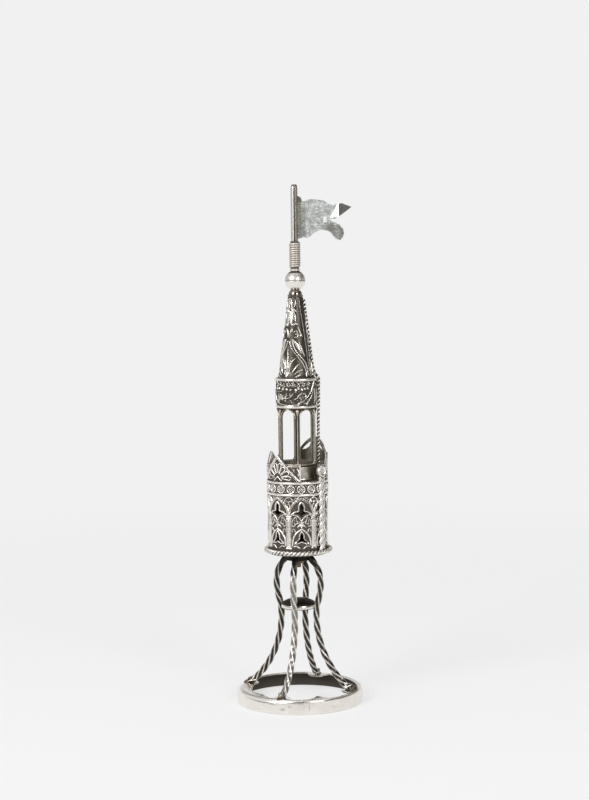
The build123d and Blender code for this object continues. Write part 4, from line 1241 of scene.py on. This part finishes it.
# Flag
flagSheet = {
    "thick": 0.4, "cells": 0.16, "width": (0.9, 22.2), "height": (-0.1, 17.3), "hoist": 3.6,
    "outline": [
        (1.0, 17.0), (1.5, 17.1), (2.6, 16.3), (2.9, 15.2), (4.0, 15.0), (4.8, 15.5), (6.1, 15.85), (7.8, 15.75),
        (9.9, 15.5), (11.4, 15.15), (13.1, 13.9), (15.0, 13.2), (15.9, 13.9), (16.8, 13.95), (18.2, 14.15),
        (20.1, 13.45), (22.0, 12.8), (20.7, 11.8), (17.5, 9.45), (16.5, 9.0), (15.4, 8.2), (13.0, 8.2), (14.0, 7.6),
        (15.7, 7.1), (17.4, 5.9), (18.6, 4.5), (19.0, 3.0), (18.6, 1.1), (17.4, 0.12), (16.2, 0.2), (15.2, 1.1),
        (14.0, 2.8), (12.8, 3.65), (11.4, 3.95), (9.85, 3.95), (8.5, 3.5), (7.1, 2.65), (6.2, 1.8), (4.7, 0.95),
        (3.5, 1.3), (2.0, 0.8), (1.0, 0.5),
    ],
    "hole": [(11.05, 9.1), (12.25, 9.1), (12.25, 6.95), (11.05, 6.95)],
    "wave": (0.35, 4.2, 0.5), "sag": (0.25, 8.0, 5.0), "tail": (12.5, 8.2),
    "foldA": ((13.7, 8.7), (16.4, 13.75)), "foldB": 16.9, "slopes": (-0.38, 1.3), "tipFrom": 8.85, "tipFade": 0.6,
    "shades": {"lower": 0.8, "hoist": 0.8, "fold": 0.85, "tip": 0.72, "hook": 1.2},
}


def buildFlag(s):
    low = levels("flag_blade")[0]
    shades = s["shades"]
    u, v = np.meshgrid(np.arange(*s["width"], s["cells"]), np.arange(*s["height"], s["cells"]))
    free = np.zeros(u.size, bool)
    flatU, flatV, outside = snapTo(u.ravel(), v.ravel(), s["outline"], s["cells"], free)
    flatU, flatV, away = snapTo(flatU, flatV, s["hole"], s["cells"], free)
    off = np.minimum(-outside, away).reshape(u.shape)
    x, y = flatU.reshape(u.shape), flatV.reshape(u.shape)
    deep, length, start = s["wave"]
    bow = deep * np.sin(x / length + start)
    deep, level, length = s["sag"]
    bow -= deep * np.cos((y - level) / length)
    tailFrom, tailTop = s["tail"]
    bow += 0.5 * np.clip(x - tailFrom, 0, None) ** 2 / 12 * (y < tailTop)
    (ax, ay), (bx, by) = s["foldA"]
    past = np.clip(((x - ax) * (by - ay) - (y - ay) * (bx - ax)) / math.hypot(bx - ax, by - ay), 0, None)
    upper = y > s["tipFrom"]
    rising = np.clip((y - s["tipFrom"] + s["tipFade"]) / s["tipFade"], 0, 1)
    bow += rising * (s["slopes"][0] * past + s["slopes"][1] * np.clip(x - s["foldB"], 0, None))
    bow += 0.25 * np.clip(s["hoist"] - x, 0, 1.2) * (y < 14.8)
    front = np.stack([x, bow - s["thick"] / 2 + 0 * x, y + low], -1)
    back = np.stack([x, bow + s["thick"] / 2 + 0 * x, y + low], -1)
    points, faces, used = sheetMesh(front, back, cellsKept(off, False), False)
    # painted shade: a shadow along the fold under the tip, a darker tip facet and a dark hook tab; the lower tail and
    # the hoist strip are darker too
    lower = np.clip((8.6 - y) / 3.0, 0, 1) * np.clip((x - 9.5) / 3.0, 0, 1)
    hoist = np.clip((4.6 - x) / 1.2, 0, 1)
    dark = np.maximum(shades["lower"] * lower, shades["hoist"] * hoist) * np.clip(off / 0.5, 0.25, 1)
    dark = np.where(past > 0, np.where(upper, 0.0, np.maximum(dark, shades["fold"] * rising)), dark)
    dark = np.maximum(dark, shades["tip"] * ((x > s["foldB"]) & upper))
    dark = np.maximum(dark, shades["hook"] * ((x < 3.3) & (y > 15.0)))
    dark = np.concatenate([dark.ravel(), dark.ravel()])
    makePiece("flagSheet", points, faces, "flag", "flagSilver", ["flag_blade"], dark[used])


sleeveRoll = {
    "lap": 0.16, "proud": 0.14, "seamAt": -14.0, "bore": 0.9, "columns": 64, "rows": 40, "wornEnds": (0.1, 0.2),
    "seamShade": (1.6, 13.0), "sideShade": 0.66, "finish": "sleeveSilver",
}


def buildSleeve(s):  # sheet rolled round the spindle, its edge lapped along a seam
    low, top = levels("flag_sleeve")
    radius = outerRadius("flag_sleeve") + s["proud"]
    angles = np.linspace(s["seamAt"], s["seamAt"] + 360, s["columns"])
    angle, z = np.meshgrid(angles, np.linspace(low, top, s["rows"]))
    past = (angle - s["seamAt"]) / 360
    deep, long = s["wornEnds"]
    wornAndLit = deep * (np.exp(-((z - low) / long) ** 2) + np.exp(-((top - z) / long) ** 2))
    outside = radius - s["lap"] * (1 - past) - wornAndLit + np.minimum(ripple(angle, z / 2, 0.01, 51), 0.0)
    outer, inner = around(angle, outside, z), around(angle, s["bore"] + 0 * z, z)
    keep = np.ones((s["rows"] - 1, s["columns"] - 1), bool)
    points, faces, used = sheetMesh(outer, inner, keep, False)
    turned = past * 360
    shade, wide = s["seamShade"]
    seam = shade * np.exp(-(turned / wide) ** 2) + s["sideShade"] * np.clip((330 - turned) / 30, 0, 1)
    dark = np.concatenate([seam.ravel(), np.ones(seam.size)])
    makePiece("rolledSleeve", points, faces, "flag", s["finish"], ["flag_sleeve"], dark[used])


buildFlag(flagSheet)
buildSleeve(sleeveRoll)
print("flag built")


# Stage: pale sweep, soft lamps, and a dim room with a white board at the left that the metal mirrors
stageLook = {
    "pale": 0.878, "shadowShare": 0.32, "shadowReach": (0.12, 0.55), "floorColour": (0.86, 0.86, 0.865), "fill": 0.35,
    "front": -2.2, "bendFrom": 1.2, "bend": 0.5, "bendRows": 12, "top": 2.4, "half": 2.5,
}


def stageMesh(name, points, faces, surfaceOf, s):
    mesh = bpy.data.meshes.new(name)
    mesh.from_pydata(points, [], faces)
    mesh.polygons.foreach_set("use_smooth", np.ones(len(faces), bool))
    material = bpy.data.materials.new(name)
    material.use_nodes = True
    tree = material.node_tree
    tree.nodes.remove(tree.nodes["Principled BSDF"])
    tree.links.new(surfaceOf(tree, s), tree.nodes["Material Output"].inputs["Surface"])
    mesh.materials.append(material)
    return addObject(name, mesh)


def seenShare(tree):  # 1 for what the camera sees, also in a mirror, 0 for scattered light
    path = tree.nodes.new("ShaderNodeLightPath")
    seen = maths(tree, "MAXIMUM", path.outputs["Is Camera Ray"], path.outputs["Is Glossy Ray"])
    return maths(tree, "MAXIMUM", seen, path.outputs["Is Transmission Ray"])


def paleShader(tree, s):  # pale as seen, with a shadow near the foot only
    seen = seenShare(tree)
    glow = addNode(tree, "ShaderNodeEmission", Color=(s["pale"], s["pale"], s["pale"], 1.0), Strength=1.0)
    matt = addNode(tree, "ShaderNodeBsdfDiffuse", Color=(*s["floorColour"], 1.0))
    mix = tree.nodes.new("ShaderNodeMixShader")
    away = tree.nodes.new("ShaderNodeVectorMath")
    away.operation = "LENGTH"
    tree.links.new(tree.nodes.new("ShaderNodeTexCoord").outputs["Object"], away.inputs[0])
    share = spread(tree, away.outputs["Value"], 1.0 - s["shadowShare"], 1.0, *s["shadowReach"])
    tree.links.new(maths(tree, "MULTIPLY", seen, share), mix.inputs["Fac"])
    tree.links.new(matt.outputs["BSDF"], mix.inputs[1])
    tree.links.new(glow.outputs["Emission"], mix.inputs[2])
    return mix.outputs["Shader"]


def buildSweep(s):
    profile = [(s["front"], 0.0), (s["bendFrom"], 0.0)]
    for a in np.linspace(0.1, math.pi / 2, s["bendRows"]):
        profile.append((s["bendFrom"] + s["bend"] * math.sin(a), s["bend"] - s["bend"] * math.cos(a)))
    profile.append((s["bendFrom"] + s["bend"], s["top"]))
    points = [(x, y, z) for y, z in profile for x in (-s["half"], s["half"])]
    faces = [(2 * i, 2 * i + 1, 2 * i + 3, 2 * i + 2) for i in range(len(profile) - 1)]
    sweep = stageMesh("paleSweep", points, faces, paleShader, s)


greyRoom = {
    "radius": 1.55, "low": 3.0, "high": 84.0, "rows": 10, "columns": 48, "front": 0.035, "back": 0.34,
    "sweep": 0.6, "sweepFrom": (-0.4, 0.9), "sweepTop": (0.3, 0.62),
    "board": 0.6, "boardFrom": (-1.1, -0.45), "boardFoot": (0.3, 0.7),
}


def roomShader(tree, s):  # darkest behind the camera, bright low down at the back and high up at the left
    where = tree.nodes.new("ShaderNodeTexCoord")
    split = tree.nodes.new("ShaderNodeSeparateXYZ")
    tree.links.new(where.outputs["Object"], split.inputs[0])
    x, y, z = (split.outputs[axis] for axis in "XYZ")
    glow = addNode(tree, "ShaderNodeEmission", Color=(1.0, 1.0, 1.0, 1.0))
    wide = spread(tree, y, s["front"], s["back"], -s["radius"], s["radius"])
    behind = spread(tree, y, 0.0, s["sweep"], *s["sweepFrom"])
    sweepGlow = maths(tree, "MULTIPLY", behind, spread(tree, z, 1.0, 0.0, *s["sweepTop"]))
    beside = spread(tree, x, s["board"], 0.0, *s["boardFrom"])
    boardGlow = maths(tree, "MULTIPLY", beside, spread(tree, z, 0.0, 1.0, *s["boardFoot"]))
    total = maths(tree, "ADD", wide, maths(tree, "ADD", sweepGlow, boardGlow))
    tree.links.new(total, glow.inputs["Strength"])
    return glow.outputs["Emission"]


def buildGreyRoom(s):  # what the metal mirrors above the floor
    points = []
    for i in range(s["rows"]):
        up = math.radians(s["low"] + (s["high"] - s["low"]) * i / (s["rows"] - 1))
        reach = s["radius"] * math.cos(up)
        for j in range(s["columns"]):
            turn = 2 * math.pi * j / s["columns"]
            points.append((reach * math.sin(turn), -reach * math.cos(turn), s["radius"] * math.sin(up)))
    room = stageMesh("greyRoom", points, ringFaces(s["rows"], s["columns"]), roomShader, s)
    room.visible_camera = False
    room.visible_diffuse = False
    room.visible_shadow = False
    room.visible_transmission = False


lamps = {
    "leftSoftbox": {"at": (-0.75, -0.85, 0.75), "size": (0.55, 0.7), "power": 11.0},
    "rightSoftbox": {"at": (0.62, -1.0, 0.62), "size": (0.4, 0.55), "power": 6.8},
    "topSoftbox": {"at": (0.0, 0.1, 1.25), "size": (1.2, 1.0), "power": 5.0},
}


def buildLamps(s):
    for name, lamp in s.items():
        data = bpy.data.lights.new(name, "AREA")
        data.shape = "RECTANGLE"
        data.size, data.size_y = lamp["size"]
        data.energy = lamp["power"]
        light = addObject(name, data)
        light.location = lamp["at"]
        aim = -light.location
        aim.z += 0.1
        light.rotation_euler = aim.to_track_quat("-Z", "Y").to_euler()


def buildWorld(s):
    world = bpy.data.worlds.new("paleRoom")
    world.use_nodes = True
    scene.world = world
    tree = world.node_tree
    back = tree.nodes["Background"]
    back.inputs["Color"].default_value = (s["pale"], s["pale"], s["pale"], 1.0)
    tree.links.new(spread(tree, seenShare(tree), s["fill"], 1.0), back.inputs["Strength"])


buildSweep(stageLook)
buildGreyRoom(greyRoom)
buildLamps(lamps)
buildWorld(stageLook)
print("stage set")


# CAD nodes that show as they are
nodeFinishes = {
    # the leg head plate and the lid seat ring sit in shade and take a near-black finish as painted shadow
    "leg_head_plate": "paintedShadow", "fixing_stud": "brownBrass", "fixing_nut": "brownBrass", "box_floor": "darkSilver",
    "lid_seat_ring": "paintedShadow", "lid_plate": "darkSilver", "lid_plug": "blackSilver", "spire_cap": "capSilver",
    "neck_ring": "coilWire", "spindle": "darkSilver", "spindle_head": "darkSilver",
}
for name, finish in nodeFinishes.items():
    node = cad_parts[name]
    node.data.materials.clear()
    node.data.materials.append(finishes[finish])
print("CAD nodes finished:", len(nodeFinishes))
